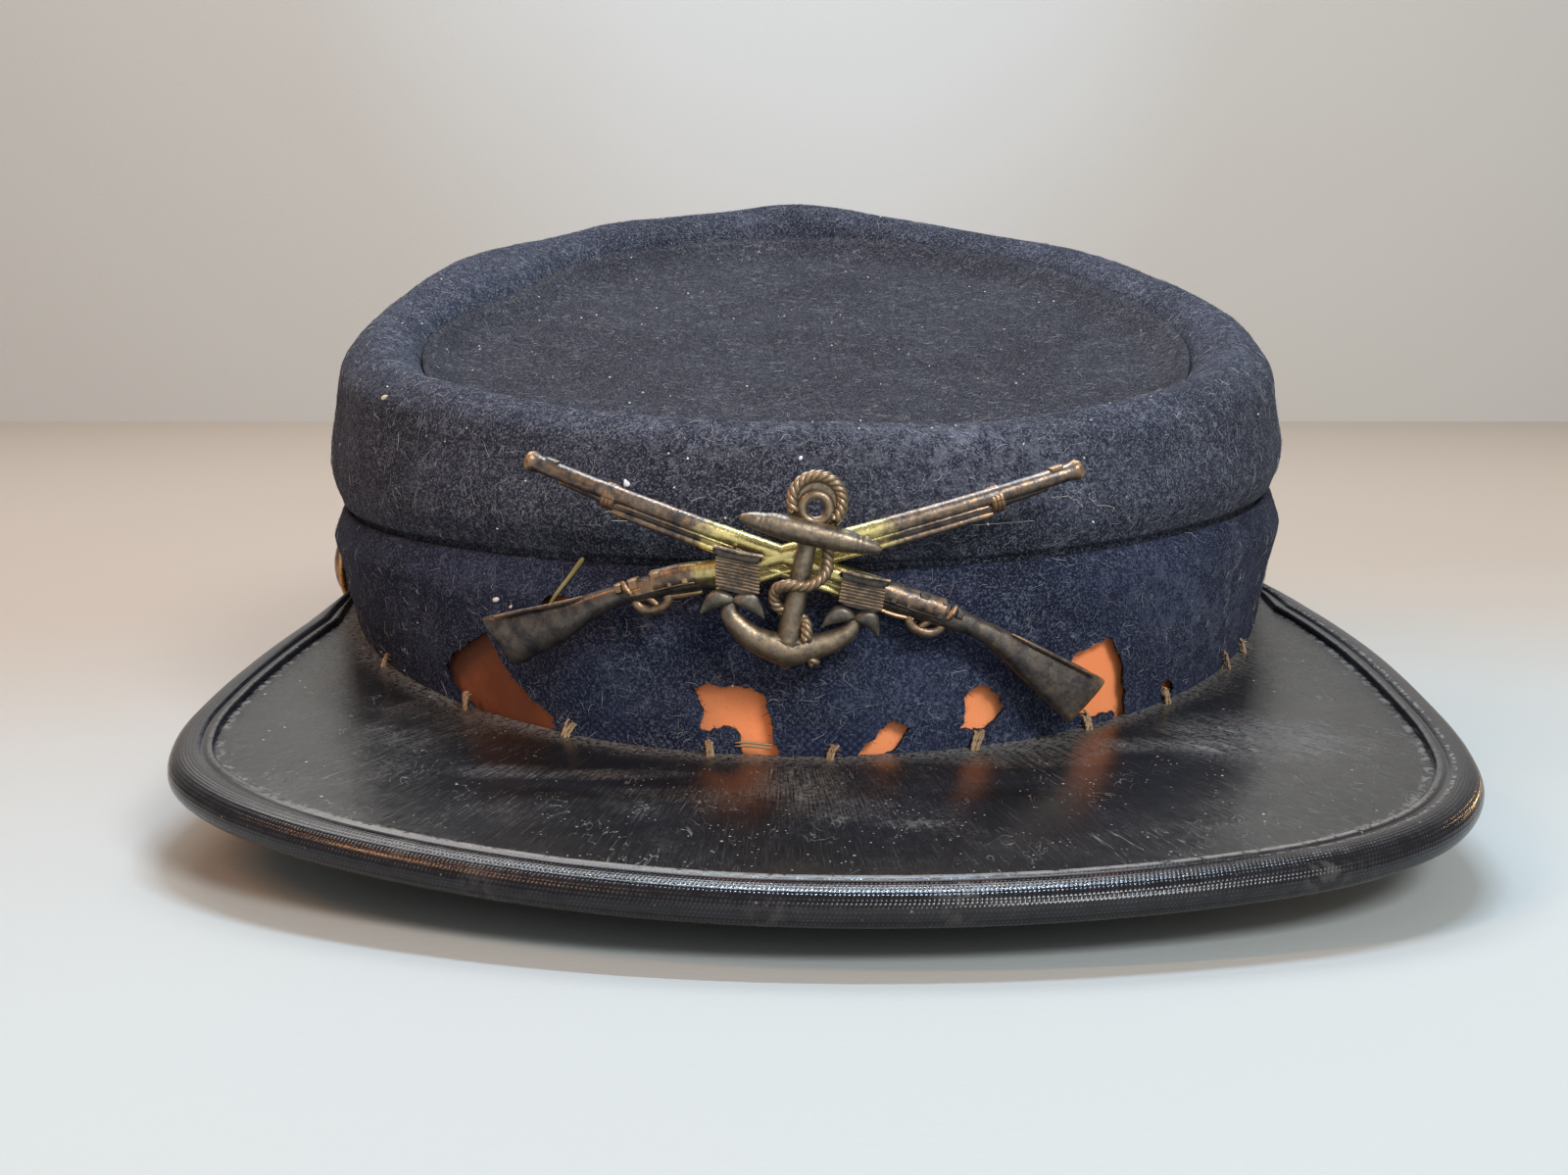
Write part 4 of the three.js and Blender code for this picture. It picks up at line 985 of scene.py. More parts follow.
def onRifle(rifle, along, rise, proud):
    fall = radians(rifle["fall"])
    rise -= max(0, along - badgeSettings["wristAlong"]) * tan(radians(rifle["turn"]))
    rise += rifle["hump"] * smoothStep(46, 54, along) * (1 - smoothStep(60, 70, along))
    muzzleAcross, muzzleHeight = rifle["muzzle"]
    return bowed(Vector((
        muzzleAcross + rifle["way"] * (along * cos(fall) + rise * sin(fall)),
        badgeSettings["back"] - proud,
        muzzleHeight - along * sin(fall) + rise * cos(fall))))


def rifleBar(bm, rifle, points, radii, sides=12, flatten=1.0):  # points are (along, rise, proud) on the rifle
    tube(bm, [onRifle(rifle, *point) for point in points], radii, sides, flatten, Vector((0, -1, 0)))


def rifleBlock(bm, rifle, low, high, taper=0.75):  # a rounded raised block between two (along, rise, proud)
    sections = []
    for proud, shrink in ((low[2], 1.0), (lerp(low[2], high[2], 0.7), 1.0), (high[2], taper)):
        centre = [(a + b) / 2 for a, b in zip(low, high)]
        ring = []
        for k in range(16):
            turn = 2 * pi * k / 16
            x, y = cos(turn), sin(turn)
            fit = 1 / max(abs(x), abs(y)) ** 0.75
            ring.append(onRifle(
                rifle, centre[0] + (high[0] - low[0]) / 2 * x * fit * shrink,
                centre[1] + (high[1] - low[1]) / 2 * y * fit * shrink, proud))
        sections.append(ring)
    loft(bm, sections)


def stockSection(rifle, row):
    along, top, bottom, proud, lean = row
    ring = []
    for k in range(20):
        turn = pi * k / 19  # from the bottom edge over the face to the top edge
        height = -cos(turn)
        face = sin(turn) ** 0.55
        rise = lerp(bottom, top, (height + 1) / 2)
        ring.append(onRifle(rifle, along + lean * (top - rise) / (top - bottom), rise, proud * face))
    return ring


def makeRifle(rifle, bronze, isFront):
    bm = bmesh.new()
    fine = []
    for k in range(len(stockStations) - 1):
        steps = max(1, round((stockStations[k + 1][0] - stockStations[k][0]) / 0.8))
        for s in range(steps):
            fine.append([lerp(a, b, s / steps) for a, b in zip(stockStations[k], stockStations[k + 1])])
    fine.append(stockStations[-1])
    loft(bm, [stockSection(rifle, row) for row in fine])
    barrel = [k * 0.6 for k in range(95)]

    def barrelRadius(along):
        flare = 0.32 * (1 - smoothStep(0.5, 1.6, along))
        return 1.10 + flare + 0.35 * smoothStep(2, 50, along) + 0.12 * smoothStep(44, 48, along)

    rifleBar(bm, rifle, [(along, 0.22, 0.95) for along in barrel],
             [barrelRadius(along) * (0.80 if along == 0 else 1) for along in barrel], 18)
    rifleBar(bm, rifle, [(12.8 + k, -1.85, 1.25) for k in range(37)],
             [0.3] + [0.50] * 35 + [0.3], 10)
    rifleBar(bm, rifle, [(13.2 + k, -0.75, 1.75) for k in range(33)], [0.1] + [0.24] * 31 + [0.1], 8)
    pieces = riflePieces
    for along, reach, wire in pieces["bands"]:
        turns = [2 * pi * k / 26 for k in range(27)]
        ring = [(along, -0.30 + reach * sin(turn), max(0.15, 0.5 + reach * cos(turn))) for turn in turns]
        rifleBar(bm, rifle, ring, wire, 8)
    rifleBlock(bm, rifle, *pieces["frontSight"])
    lock = rifle["shift"]

    def shifted(point):
        return (lock + point[0], *point[1:])

    rifleBlock(bm, rifle, *map(shifted, pieces["rearSight"]), 0.8)
    rifleBlock(bm, rifle, *map(shifted, pieces["lockPlate"]), 0.9)
    for along, rise, wide, high in pieces["lockHumps"]:
        rifleBlock(bm, rifle, (lock + along - wide / 2, rise - high, 0.8),
                   (lock + along + wide / 2, rise + high / 2, 2.35), 0.62)
    for along, rise, size in pieces["screws"]:
        rifleBlock(bm, rifle, (lock + along - size, rise - size, 2.1),
                   (lock + along + size, rise + size, 2.5), 0.75)
    points, radii, sides = pieces["hammerSpur"]
    rifleBar(bm, rifle, [shifted(point) for point in points], radii, sides)
    guard = []
    for k in range(17):  # trigger guard
        turn = pi * k / 16
        guard.append((lock + 56.0 + 2.2 * cos(turn), -1.5 - 1.75 * sin(turn) ** 0.8, 0.9))
    rifleBar(bm, rifle, guard, 0.62, 10, 0.7)
    for name in ("trigger", "guardTail"):
        points, radii, sides = pieces[name]
        rifleBar(bm, rifle, [shifted(point) for point in points], radii, sides)
    rifleBar(bm, rifle, [(66.0 + 1.6 * k, 0.72 - 0.07 * k, 1.45) for k in range(9)],
             [0.12, 0.24, 0.3, 0.3, 0.3, 0.3, 0.3, 0.28, 0.15], 8)  # ridge of the comb
    if isFront:
        bow = badgeSettings["bowRadius"]
        for across, height in riflePosts:
            start = badgeSettings["back"] + bow * (1 - cos(across / bow)) - 0.6
            tube(bm, [Vector((across, start + k * 1.5, height)) for k in range(7)],
                 badgeSettings["postRadius"], 16)
    for v in bm.verts:  # castings are never quite smooth
        v.co += v.co.normalized() * 0.05 * ripple(v.co, 0.9, 21)
    addWear(bm)
    finishPiece(bm, rifle["name"], ["crossed_rifles"], bronze, smoothAngle=42)


# The anchor stands upright in its own flat frame, its eye at the middle: across, up, proud of its back.
anchorSettings = {
    "eyeAcross": 0.3, "eyeHeight": 45.1, "turn": 12, "back": -5.4, "eyeRadius": 1.72,
    "shank": ([(-0.05, -1.6, 1.2), (-0.1, -8, 1.25), (0, -14, 1.3), (0.2, -18.3, 1.3)],
              [1.15, 1.28, 1.40, 1.70]),
    "arms": ([(-8.0, -12.9, 1.2), (-7.8, -14.9, 1.25), (-6.7, -16.0, 1.3), (-4.4, -17.3, 1.35),
              (-1.4, -17.9, 1.4), (0.4, -18.0, 1.4), (3.1, -17.0, 1.35), (5.7, -15.6, 1.3),
              (7.4, -13.9, 1.25), (7.8, -12.0, 1.2)],
             [0.80, 1.20, 1.48, 1.68, 1.95, 1.95, 1.68, 1.48, 1.20, 0.80]),
    "crown": ([(0.3, -16.6, 1.4), (0.4, -18.5, 1.3), (0.5, -20.4, 1.2)], [2.3, 1.9, 0.4]),
    "flukes": [  # root, outer tip, inner tip, side
        ((-7.7, -12.9), (-11.4, -15.6), (-3.4, -14.6), -1), ((7.6, -11.8), (11.1, -13.8), (3.8, -14.2), 1)],
    "stockHalf": 9.1, "stockRadius": 1.62, "stockDrop": -2.75,
    "post": (-2.6, 30.4),
}
ropeSettings = {
    "radius": 0.8, "strand": 0.43, "pitch": 2.7, "ringRadius": 3.15, "ringRise": 1.2,
    "runs": [  # points and how many steps
        ([(2.1, -2.9, 1.7), (2.4, -3.6, 1.5), (2.75, -5.4, 1.6), (2.9, -7.3, 2.1), (1.1, -9.2, 3.0),
          (-1.5, -9.7, 3.0), (-2.75, -10.7, 2.0), (-2.4, -12.5, 1.2), (-0.4, -13.6, 1.0)], 110),
        ([(1.0, -13.6, 1.3), (1.7, -14.0, 1.7), (2.1, -15.0, 2.3), (2.3, -16.2, 2.5)], 26),
        ([(3.2, -18.0, 1.5), (3.6, -18.5, 1.6), (4.0, -18.9, 1.5)], 14)],
}
plateSettings = {"width": 5.6, "barWidth": 6.3, "depth": 1.4, "ribPitch": 0.42, "places": (
    {"across": -7.85, "up": -9.8, "height": 4.8, "lean": -0.21},
    {"across": 7.95, "up": -9.05, "height": 3.9, "lean": -0.06})}


def onAnchor(across, up, proud):
    turn = radians(-anchorSettings["turn"])
    return Vector((
        anchorSettings["eyeAcross"] + across * cos(turn) - up * sin(turn),
        anchorSettings["back"] - proud,
        anchorSettings["eyeHeight"] + across * sin(turn) + up * cos(turn)))


def anchorBar(bm, points, radii, count, sides=14, flatten=1.0):
    line = [Vector(point) for point in points]
    spread = evenly(line, count)
    if isinstance(radii, (list, tuple)):
        table = [Vector((radius, 0, 0)) for radius in radii]
        radii = [splinePoint(table, k / count).x for k in range(count + 1)]
    tube(bm, [onAnchor(*point) for point in spread], radii, sides, flatten, Vector((0, -1, 0)))


def plaited(bm, points, count):  # a rope of three strands laid round each other
    line = evenly([Vector(point) for point in points], count)
    length = sum((b - a).length for a, b in zip(line, line[1:]))
    out = Vector((0, 0, 1))
    for strand in range(3):
        centres = []
        for k, point in enumerate(line):
            ahead = (line[min(k + 1, count)] - line[max(k - 1, 0)]).normalized()
            side = ahead.cross(out).normalized()
            turn = 2 * pi * (strand / 3 + k / count * length / ropeSettings["pitch"])
            reach = ropeSettings["radius"] - ropeSettings["strand"]
            spot = point + side * reach * cos(turn) + side.cross(ahead) * reach * sin(turn)
            centres.append(onAnchor(*spot))
        tube(bm, centres, ropeSettings["strand"], 9)


def anchorBlock(bm, across, up, width, height, low, high, shrink=0.92, lean=0.0):
    sections = []
    for share, fit in ((0, shrink), (0.2, 1.0), (0.8, 1.0), (1, shrink)):
        proud = lerp(low, high, share)
        ring = []
        for k in range(24):
            turn = 2 * pi * (k + 0.5) / 24
            x, y = cos(turn), sin(turn)
            square = 1 / max(abs(x), abs(y)) ** 0.88
            rise = height / 2 * y * square * fit
            ring.append(onAnchor(across + width / 2 * x * square * fit + lean * rise, up + rise, proud))
        sections.append(ring)
    loft(bm, sections)


def flukeBlade(bm, root, tip, belly):
    # a leaf of metal that curves from the root of the arm out to its own tip
    root, tip = Vector(root), Vector(tip)
    way = tip - root
    side = Vector((-way.y, way.x)).normalized()
    sections = []
    for k in range(15):
        share = k / 14
        centre = root + way * share + side * belly * sin(pi * share) * 0.5
        half = 0.45 - 0.35 * share + 0.78 * sin(pi * share ** 0.85)
        ring = []
        for j in range(14):
            turn = 2 * pi * j / 14
            spot = centre + side * half * cos(turn)
            swell = sin(turn) / (0.30 + 0.70 * abs(sin(turn)))  # flat across its face and round at its edges
            thick = (0.65 + 0.45 * (1 - share)) * min(1, half)
            ring.append(onAnchor(spot.x, spot.y, 1.55 + thick * swell))
        sections.append(ring)
    loft(bm, sections)


def makeAnchor(bronze, plateBronze):
    settings = anchorSettings
    bm = bmesh.new()
    anchorBar(bm, *settings["shank"], 30, 16, 1.05)
    anchorBar(bm, *settings["arms"], 60, 16, 0.85)
    anchorBar(bm, *settings["crown"], 12, 14, 0.75)
    for root, outer, inner, side in settings["flukes"]:
        flukeBlade(bm, root, outer, side * 1.7)
        flukeBlade(bm, root, inner, side * -1.7)
    ring = []
    for k in range(49):  # the eye
        turn = 2 * pi * k / 48
        ring.append((settings["eyeRadius"] * cos(turn), settings["eyeRadius"] * sin(turn)))
    facing = Vector((0, -1, 0))
    tube(bm, [onAnchor(x, y + 0.3, 1.3) for x, y in ring], 0.66, 14, 1.15, facing)
    tube(bm, [onAnchor(x * 1.40, y * 1.40 + 0.7, 0.7) for x, y in ring], 0.85, 12, 0.7, facing)
    half, radius = settings["stockHalf"], settings["stockRadius"]
    profile = []
    for k in range(90):  # the stock: a bar that swells to the middle, with two cuts near each end
        x = lerp(-half, half, k / 89)
        cuts = sum(exp(-((abs(x) - cut) / 0.13) ** 2) for cut in (half - 2.55, half - 3.15))
        profile.append((x, 0.15 + (radius - 0.15) * (1 - (abs(x) / half) ** 2.6) ** 0.62 - 0.13 * cuts))
    tube(bm, [onAnchor(x, settings["stockDrop"] - 0.02 * x, 2.6) for x, _ in profile],
         [r for _, r in profile], 24, 1.0, facing)
    start = settings["back"] - 1.2
    across, height = settings["post"]
    tube(bm, [Vector((across, start + k * 1.5, height)) for k in range(8)], badgeSettings["postRadius"], 16)
    bmesh.ops.subdivide_edges(bm, edges=[e for e in bm.edges if e.calc_length() > 0.9], cuts=1)
    for v in bm.verts:
        v.co += v.co.normalized() * 0.06 * ripple(v.co, 1.1, 22)
    addWear(bm)
    finishPiece(bm, "anchorCasting", ["anchor"], bronze, smoothAngle=48)

    bm = bmesh.new()
    ring = []
    for k in range(25):
        turn = radians(lerp(218, -38, k / 24))
        ring.append((ropeSettings["ringRadius"] * cos(turn),
                     ropeSettings["ringRise"] + ropeSettings["ringRadius"] * sin(turn), 1.3))
    plaited(bm, ring, 110)
    for run, steps in ropeSettings["runs"]:
        plaited(bm, run, steps)
    addWear(bm, 1)
    finishPiece(bm, "anchorRope", [], bronze)

    bm = bmesh.new()
    settings = plateSettings
    for plate in settings["places"]:
        across, up, height, lean = plate["across"], plate["up"], plate["height"], plate["lean"]
        anchorBlock(bm, across, up, settings["width"], height, 0.1, settings["depth"], 0.98, lean)
        barAcross, barUp = across + lean * height / 2, up + height / 2
        anchorBlock(bm, barAcross, barUp, settings["barWidth"], 0.95, 0.3, 1.9, 0.9)
        reach = settings["barWidth"] / 2
        anchorBar(bm, [(barAcross - reach, barUp + 0.42, 1.75), (barAcross, barUp + 0.30, 2.0),
                       (barAcross + reach, barUp + 0.42, 1.75)], [0.24, 0.27, 0.24], 16, 10)
        for k in range(int((height - 0.9) / settings["ribPitch"])):
            rise = height / 2 - 0.85 - k * settings["ribPitch"]
            ends = settings["width"] * 0.50
            middle = across + lean * rise
            line = [onAnchor(middle + lerp(-ends, ends, j / 10), up + rise, settings["depth"] + 0.02)
                    for j in range(11)]
            tube(bm, line, 0.155, 6)
    for v in bm.verts:
        v.co += v.co.normalized() * 0.04 * ripple(v.co, 0.8, 23)
    addWear(bm, 1)
    finishPiece(bm, "ribbedPlates", [], plateBronze, smoothAngle=45)


# buttons

buttonSettings = {"standOff": 1.8, "height": 24.5, "shank": 1.2, "bevel": 0.12, "places": (
    ("sideButtonLeft", "side_button_left", -1, 91.0), ("sideButtonRight", "side_button_right", 1, 104.0))}
buttonProfile = [  # out from the middle, up from the seat
    (0.0, -6.4), (1.2, -6.4), (1.2, 0.3), (5.3, 0.3), (5.75, 0.42), (6.0, 0.75), (5.95, 1.15), (5.6, 1.32),
    (5.25, 1.36), (4.9, 1.52), (4.2, 2.05), (3.2, 2.5), (2.1, 2.8), (1.0, 2.96), (0.0, 3.0),
]


def makeButtons(brass):
    for name, node, side, back in buttonSettings["places"]:
        bm = bmesh.new()
        verts = [bm.verts.new((x, 0, z)) for x, z in buttonProfile]
        edges = [bm.edges.new(pair) for pair in zip(verts, verts[1:])]
        bmesh.ops.spin(bm, geom=verts + edges, cent=(0, 0, 0), axis=(0, 0, 1), dvec=(0, 0, 0), angle=2 * pi,
                       steps=56, use_merge=True)
        bmesh.ops.remove_doubles(bm, verts=bm.verts[:], dist=1e-4)
        bmesh.ops.recalc_face_normals(bm, faces=bm.faces[:])
        shank = buttonSettings["shank"]
        rim = [e for e in bm.edges if all(abs(hypot(v.co.x, v.co.y) - shank) < 1e-3 for v in e.verts)]
        bmesh.ops.bevel(bm, geom=rim, offset=buttonSettings["bevel"], segments=2, affect="EDGES",
                        profile=0.5, material=-1)
        height = buttonSettings["height"]
        k = next(i for i in range(len(bandRows) - 1) if bandRows[i + 1][0] >= height)
        low, high = bandRows[k], bandRows[k + 1]
        share = (height - low[0]) / (high[0] - low[0])
        halfWidth, halfLength, centre = (lerp(low[i], high[i], share) for i in (1, 2, 3))
        seat = side * halfWidth * sqrt(1 - ((back - centre) / halfLength) ** 2)
        bmesh.ops.rotate(bm, verts=bm.verts[:], matrix=Matrix.Rotation(side * pi / 2, 3, "Y"))
        outward = seat + side * buttonSettings["standOff"]
        bmesh.ops.translate(bm, verts=bm.verts[:], vec=(outward, back, height))
        addWear(bm)
        finishPiece(bm, name, [node], brass, smoothAngle=50)


# nap, lint, threads

def strandMesh(name, strands, material, sides=3):
    # strands: lists of (points in mm, radius, tone); each becomes a thin closed bar
    points, faces, tones = [], [], []
    for line, radius, tone in strands:
        first = len(points)
        last = len(line) - 1
        for k, centre in enumerate(line):
            ahead = (line[min(k + 1, last)] - line[max(k - 1, 0)]).normalized()
            side = ahead.orthogonal().normalized()
            up = side.cross(ahead)
            size = radius * (0.45 if k in (0, last) else 1)
            for j in range(sides):
                turn = 2 * pi * j / sides
                points.append(toRow @ (centre + side * size * cos(turn) + up * size * sin(turn)))
                tones.append(tone)
        for k in range(last):
            for j in range(sides):
                a, b = first + k * sides + j, first + k * sides + (j + 1) % sides
                faces.append((a, b, b + sides, a + sides))
        faces.append(tuple(first + j for j in reversed(range(sides))))
        faces.append(tuple(first + last * sides + j for j in range(sides)))
    mesh = bpy.data.meshes.new(name)
    mesh.from_pydata(points, [], faces)
    layer = mesh.attributes.new("tone", "FLOAT", "POINT")
    layer.data.foreach_set("value", tones)
    mesh.polygons.foreach_set("use_smooth", [True] * len(faces))
    piece = bpy.data.objects.new(name, mesh)
    bpy.context.collection.objects.link(piece)
    mesh.materials.append(material)
    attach(piece, "root")


def treeOf(*hosts):  # nearest-point finder over pieces, in mm in the cap's frame
    bm = bmesh.new()
    for host in hosts:
        bm.from_mesh(host.data)
    bmesh.ops.transform(bm, matrix=toRow.inverted(), verts=bm.verts[:])
    tree = BVHTree.FromBMesh(bm)
    bm.free()
    return tree


def curlOn(tree, start, normal, length, curl, lift, draw):
    # a hair that lies on a surface: it sets off in any direction and bends as it goes
    steps = 4
    side = normal.orthogonal().normalized()
    heading = draw.uniform(0, 2 * pi)
    bend = draw.gauss(0, curl)
    line = []
    point = start.copy()
    for k in range(steps + 1):
        found, face, _, _ = tree.find_nearest(point)
        if face.dot(normal) < 0:
            face = -face
        rise = lift * (0.15 + sin(pi * k / steps)) if draw.random() < 0.92 else lift * 1.6
        line.append(found + face * rise)
        other = face.cross(side).normalized()
        along = other.cross(face).normalized()
        heading += bend + draw.gauss(0, curl * 0.6)
        point = found + (along * cos(heading) + other * sin(heading)) * (length / steps)
    return line


napSettings = {
    "bandCloth": {"count": 5200, "seed": 3, "length": (0.7, 3.2), "radius": 0.021, "slot": "band_felt"},
    "crownWall": {"count": 6600, "seed": 5, "length": (0.7, 3.4), "radius": 0.023, "slot": "crown_felt"},
    "crownTop": {"count": 4200, "seed": 7, "length": (0.6, 2.4), "radius": 0.023, "slot": "crown_felt"},
}


def makeNap(host, sample, material):
    settings = napSettings[host.name]
    draw = random.Random(settings["seed"])
    tree = treeOf(host)
    strands = []
    while len(strands) < settings["count"]:
        start, outward = sample(draw)
        found, face, _, gap = tree.find_nearest(start)
        if face is None or face.dot(outward) < 0.1 or gap > 0.8:
            continue
        if 0.55 + 0.9 * ripple(found, 11, 31) + 0.5 * ripple(found, 3.5, 32) < draw.random():
            continue
        bright = draw.random() ** 2.6
        length = draw.uniform(*settings["length"]) * (0.7 if bright < 0.2 else 1)
        curl = draw.choice((0.3, 0.6, 0.9))
        line = curlOn(tree, found, face, length, curl, draw.uniform(0.02, 0.14), draw)
        strands.append((line, settings["radius"] * draw.uniform(0.7, 1.35), bright))
    for _ in range(settings["count"] // 90):  # pills: a few hairs rolled up together
        start, outward = sample(draw)
        found, face, _, gap = tree.find_nearest(start)
        if face is None or face.dot(outward) < 0.1 or gap > 0.8:
            continue
        for _ in range(7):
            spot = found + Vector((draw.gauss(0, 0.35), draw.gauss(0, 0.35), draw.gauss(0, 0.35)))
            line = curlOn(tree, spot, face, draw.uniform(0.9, 2.0), 1.2, draw.uniform(0.05, 0.2), draw)
            strands.append((line, settings["radius"], draw.uniform(0.4, 0.9)))
    strandMesh(host.name + "Nap", strands, material)


def sampleBand(draw):
    angle = frontDense(draw.random())
    return bandCloth(angle, draw.uniform(1.5, 36)), ovalOutward(1, 1.2, angle)


def sampleCrown(draw):
    angle = round(frontDense(draw.random()), 3)
    share = draw.random() ** 0.9
    point = crownOuter(angle, share)
    outward = Vector((point.x / 78, (point.y - 91) / 90, 1.2 * smoothStep(0.35, 0.6, share)))
    if share > 0.8:
        outward = Vector((-point.x / 78, -(point.y - 91) / 90, 0.4))
    return point, outward.normalized()


def sampleTop(draw):
    angle, share = draw.uniform(0, 2 * pi), sqrt(draw.random()) * 0.99
    return topPoint(angle, share), Vector((0, 0, 1))


def makeFray(cloth, material):  # short ends that stick out of the cut edges of the holes
    draw = random.Random(11)
    tree = treeOf(cloth)
    strands = []
    for outline in mothHoles:
        for k, (x, z) in enumerate(outline):
            following = outline[(k + 1) % len(outline)]
            length = hypot(following[0] - x, following[1] - z)
            for _ in range(int(length * 7)):
                t = draw.random()
                spot = Vector((lerp(x, following[0], t), 0, lerp(z, following[1], t)))
                angle = atan2(spot.x / 74.5, sqrt(max(0.0, 1 - (spot.x / 74.5) ** 2)))
                if spot.z < 13.5:
                    continue
                base = bandCloth(angle, spot.z, draw.uniform(0.1, 1.3))
                base.x, base.z = spot.x, spot.z
                found, _, _, gap = tree.find_nearest(base)
                if gap > 1.2:
                    continue
                way = Vector((draw.gauss(0, 1), draw.gauss(-0.3, 0.6), draw.gauss(0, 1))).normalized()
                size = draw.uniform(0.2, 0.75)
                bend = Vector((draw.gauss(0, 1), draw.gauss(0, 0.4), draw.gauss(0, 1))) * size * 0.10
                line = [found + way * size * s / 4 + bend * s * s * 0.3 for s in range(5)]
                strands.append((line, draw.uniform(0.018, 0.045), draw.random() ** 4 * 0.4))
    strandMesh("holeFray", strands, material)


stitchPlaces = [  # across, lean, how many threads show
    (-61.4, 0.3, 2), (-47.1, 0.5, 3), (-31.9, -0.2, 4), (-13.1, 0.2, 3), (2.6, -0.35, 3), (21.4, -0.5, 4),
    (36.7, -0.2, 3), (49.0, -0.3, 3), (60.5, -0.2, 2), (64.5, -0.2, 2),
]
stitchSettings = {"thread": 0.22, "rise": 1.8, "run": 1.3}


def makeStitches(material):
    draw = random.Random(17)
    strands = []
    settings = stitchSettings
    for across, lean, count in stitchPlaces:
        angle = atan2(across / 73.6, sqrt(1 - (across / 73.6) ** 2))
        outward = ovalOutward(73.3, 92.4, angle)
        sideways = Vector((-outward.y, outward.x, 0))
        foot = peakTop(bandFace(angle, 13).y)
        for k in range(count):
            spread = (k - (count - 1) / 2) * 0.36
            high = bandCloth(angle, foot + settings["rise"] * draw.uniform(0.75, 1.15), 0.5)
            low = bandFace(angle, foot, -settings["run"] * draw.uniform(0.8, 1.15))
            low.z = peakTop(low.y) - 0.5
            shift = sideways * (spread - lean)
            lowShift = sideways * (spread * 0.8 + lean)
            middle = (high + low) / 2 + outward * 0.40 + Vector((0, 0, 0.40))
            line = [high + shift, high + shift + outward * 0.68 + Vector((0, 0, -0.15)),
                    middle + (shift + lowShift) / 2 + sideways * draw.gauss(0, 0.08),
                    low + lowShift + Vector((0, 0, 0.72)), low + lowShift + outward * 0.05]
            line = [splinePoint(line, s / 14) for s in range(15)]
            for ply in range(2):  # two plies laid round each other
                twisted = []
                for s, point in enumerate(line):
                    turn = s * 1.1 + ply * pi
                    around = sideways * cos(turn) + outward * sin(turn)
                    twisted.append(point + around * settings["thread"] * 0.45)
                strands.append((twisted, settings["thread"] * 0.68, draw.uniform(0.2, 0.9)))
        for _ in range(12):  # loose fluff of the thread
            base = bandCloth(angle, foot + draw.uniform(0.0, 1.5), -0.35) + sideways * draw.gauss(0, 0.45)
            way = Vector((draw.gauss(0, 0.8), -0.5, draw.gauss(0.1, 0.8))).normalized()
            strands.append(([base + way * draw.uniform(0.12, 0.35) * s for s in range(4)], 0.035,
                            draw.uniform(0.3, 1)))
    angle = atan2(-7.8 / 73.6, 1)
    for k in range(2):  # one that lies along the joint
        line = [bandCloth(angle + s * 0.011 * 1.2 - 0.03, 13.9 + 0.45 * k + 0.1 * sin(s), -0.22)
                for s in range(6)]
        strands.append((line, settings["thread"] * 0.8, 0.6))
    strandMesh("peakStitches", strands, material, sides=8)


def makeStraw(material):  # a sliver of straw caught in the nap above the left hole
    line = [bandCloth(-0.465, 30.3, -0.35), bandCloth(-0.44, 32.5, -0.6), bandCloth(-0.415, 35.0, -0.9),
            bandCloth(-0.393, 37.2, -1.3)]
    line = [splinePoint(line, s / 12) for s in range(13)]
    bm = bmesh.new()
    tube(bm, line, [0.10, 0.17, 0.2, 0.22, 0.24, 0.25, 0.27, 0.28, 0.3, 0.3, 0.31, 0.32, 0.2], 8, 0.45,
         Vector((0, -1, 0)))
    addWear(bm, 1)
    finishPiece(bm, "strawSliver", [], material)


speckPlaces = [  # across, height on the band or crown, size, tone
    (-27.6, 52.6, 0.52, 1.0), (-1.8, 54.7, 0.30, 1.0), (-53.0, 29.0, 0.55, 0.55), (-49.2, 28.8, 0.32, 0.5),
]


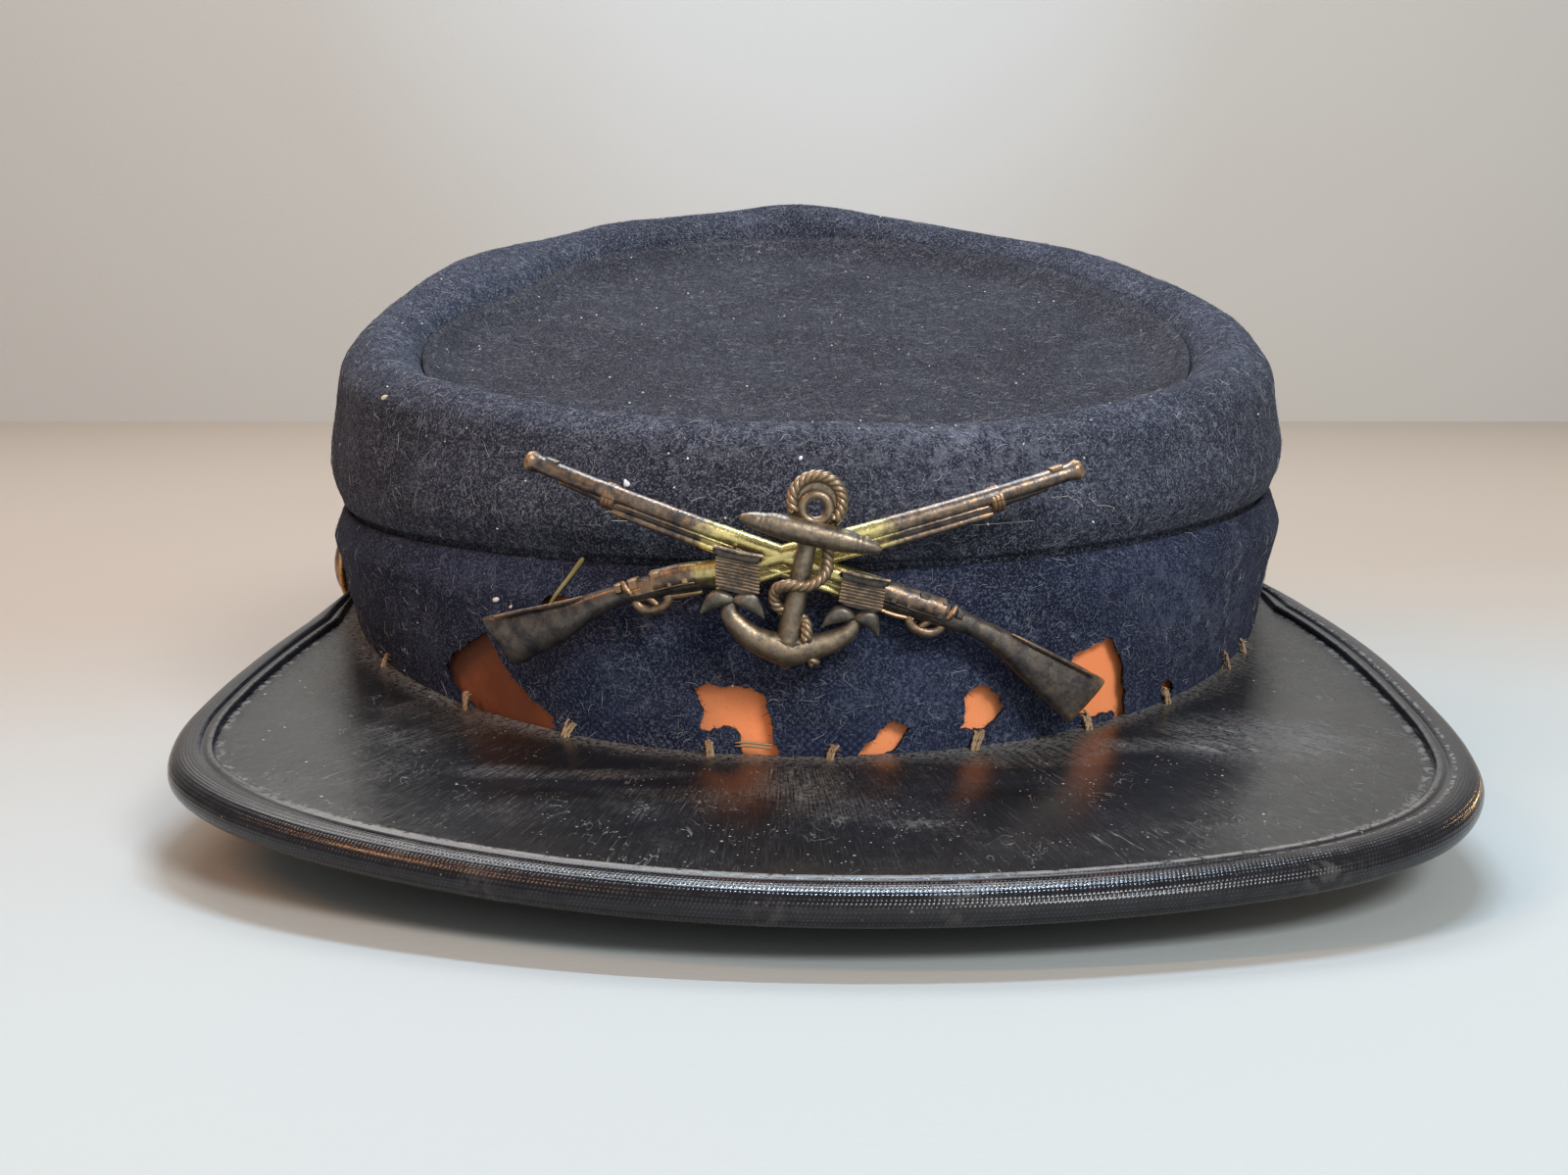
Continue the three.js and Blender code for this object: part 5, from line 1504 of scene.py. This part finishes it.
def makeSpecks(tree, crownTree, material):  # crumbs of lint caught in the nap
    draw = random.Random(23)
    bm = bmesh.new()
    layer = bm.verts.layers.float.new("tone")

    def crumb(spot, size, tone):
        made = bmesh.ops.create_icosphere(bm, subdivisions=2, radius=size)["verts"]
        squash = Matrix.Diagonal((1.0, 0.55, draw.uniform(0.5, 0.8), 1))
        bmesh.ops.transform(bm, matrix=Matrix.Translation(spot) @ Matrix.Rotation(draw.uniform(-1, 1), 4, "Y")
                            @ squash, verts=made)
        for v in made:
            v.co += (v.co - spot) * 0.5 * ripple(v.co, size * 0.7, 41)
            v[layer] = tone

    for across, height, size, tone in speckPlaces:
        finder = crownTree if height > 40 else tree
        found, _, _, _ = finder.find_nearest(Vector((across, -6 if height > 40 else 0, height)))
        crumb(found + Vector((0, -0.1, 0)), size, tone)
    found, _, _, _ = crownTree.find_nearest(Vector((-66, 38, 60)))
    crumb(found, 0.7, 0.25)
    for _ in range(150):  # fine dust on the top and the roll
        start, _ = sampleTop(draw) if draw.random() < 0.62 else sampleCrown(draw)
        found, face, _, _ = crownTree.find_nearest(start)
        crumb(found + face * 0.05, draw.uniform(0.07, 0.20), draw.uniform(0.6, 1.0))
    for _ in range(30):
        start, _ = sampleBand(draw)
        found, face, _, _ = tree.find_nearest(start)
        crumb(found + face * 0.05, draw.uniform(0.07, 0.16), draw.uniform(0.5, 1.0))
    finishPiece(bm, "lintSpecks", [], material, recalculate=False)


looseHairs = [  # points of (across, height) on the crown, from end to end
    [(37, 49.5), (39.5, 50.6), (42.5, 49.8), (44.5, 48.2), (45.2, 45.6)],
    [(47.0, 52.5), (46.6, 50.0), (48.0, 47.5), (50.4, 45.0), (50.0, 43.2)],
    [(23.0, 41.5), (27, 42.3), (31, 41.4), (34, 42.6)],
    [(-31, 44.8), (-28.5, 45.6), (-26.4, 44.2), (-26.8, 42.6), (-29.0, 42.4)],
]


def makeLooseHairs(tree, material):
    strands = []
    for k, places in enumerate(looseHairs):
        line = []
        spread = [Vector((x, 0, z)) for x, z in places]
        for s in range(22):
            spot = splinePoint(spread, s / 21)
            found, face, _, _ = tree.find_nearest(Vector((spot.x, -4, spot.z)))
            line.append(found + face * (0.25 + 0.15 * sin(s)))
        strands.append((line, 0.035, 0.5 + 0.05 * k))
    strandMesh("looseHairs", strands, material)


# the cap

cloth = makeBand(feltFinish("bandFelt"), boardFinish())
print("band ready")
crown, top = makeCrown(feltFinish("crownFelt"), feltFinish("topFelt"))
print("crown ready")
makePeak(enamelFinish(), bindingFinish())
print("peak ready")
gunMetal = metalFinish("gunMetal")
for number, rifle in enumerate(rifles):
    makeRifle(rifle, gunMetal, number == 0)
makeAnchor(metalFinish("castBronze"), metalFinish("plateBronze"))
makeButtons(metalFinish("darkBrass"))
print("badge and buttons ready")
napFinish = strandFinish("napHair")
lintFinish = strandFinish("lint")
makeNap(cloth, sampleBand, napFinish)
makeNap(crown, sampleCrown, napFinish)
makeNap(top, sampleTop, napFinish)
makeFray(cloth, napFinish)
makeStitches(strandFinish("tanThread"))
makeStraw(strandFinish("straw"))
makeSpecks(treeOf(cloth), treeOf(crown, top), lintFinish)
makeLooseHairs(treeOf(crown), lintFinish)
print("nap and threads ready")
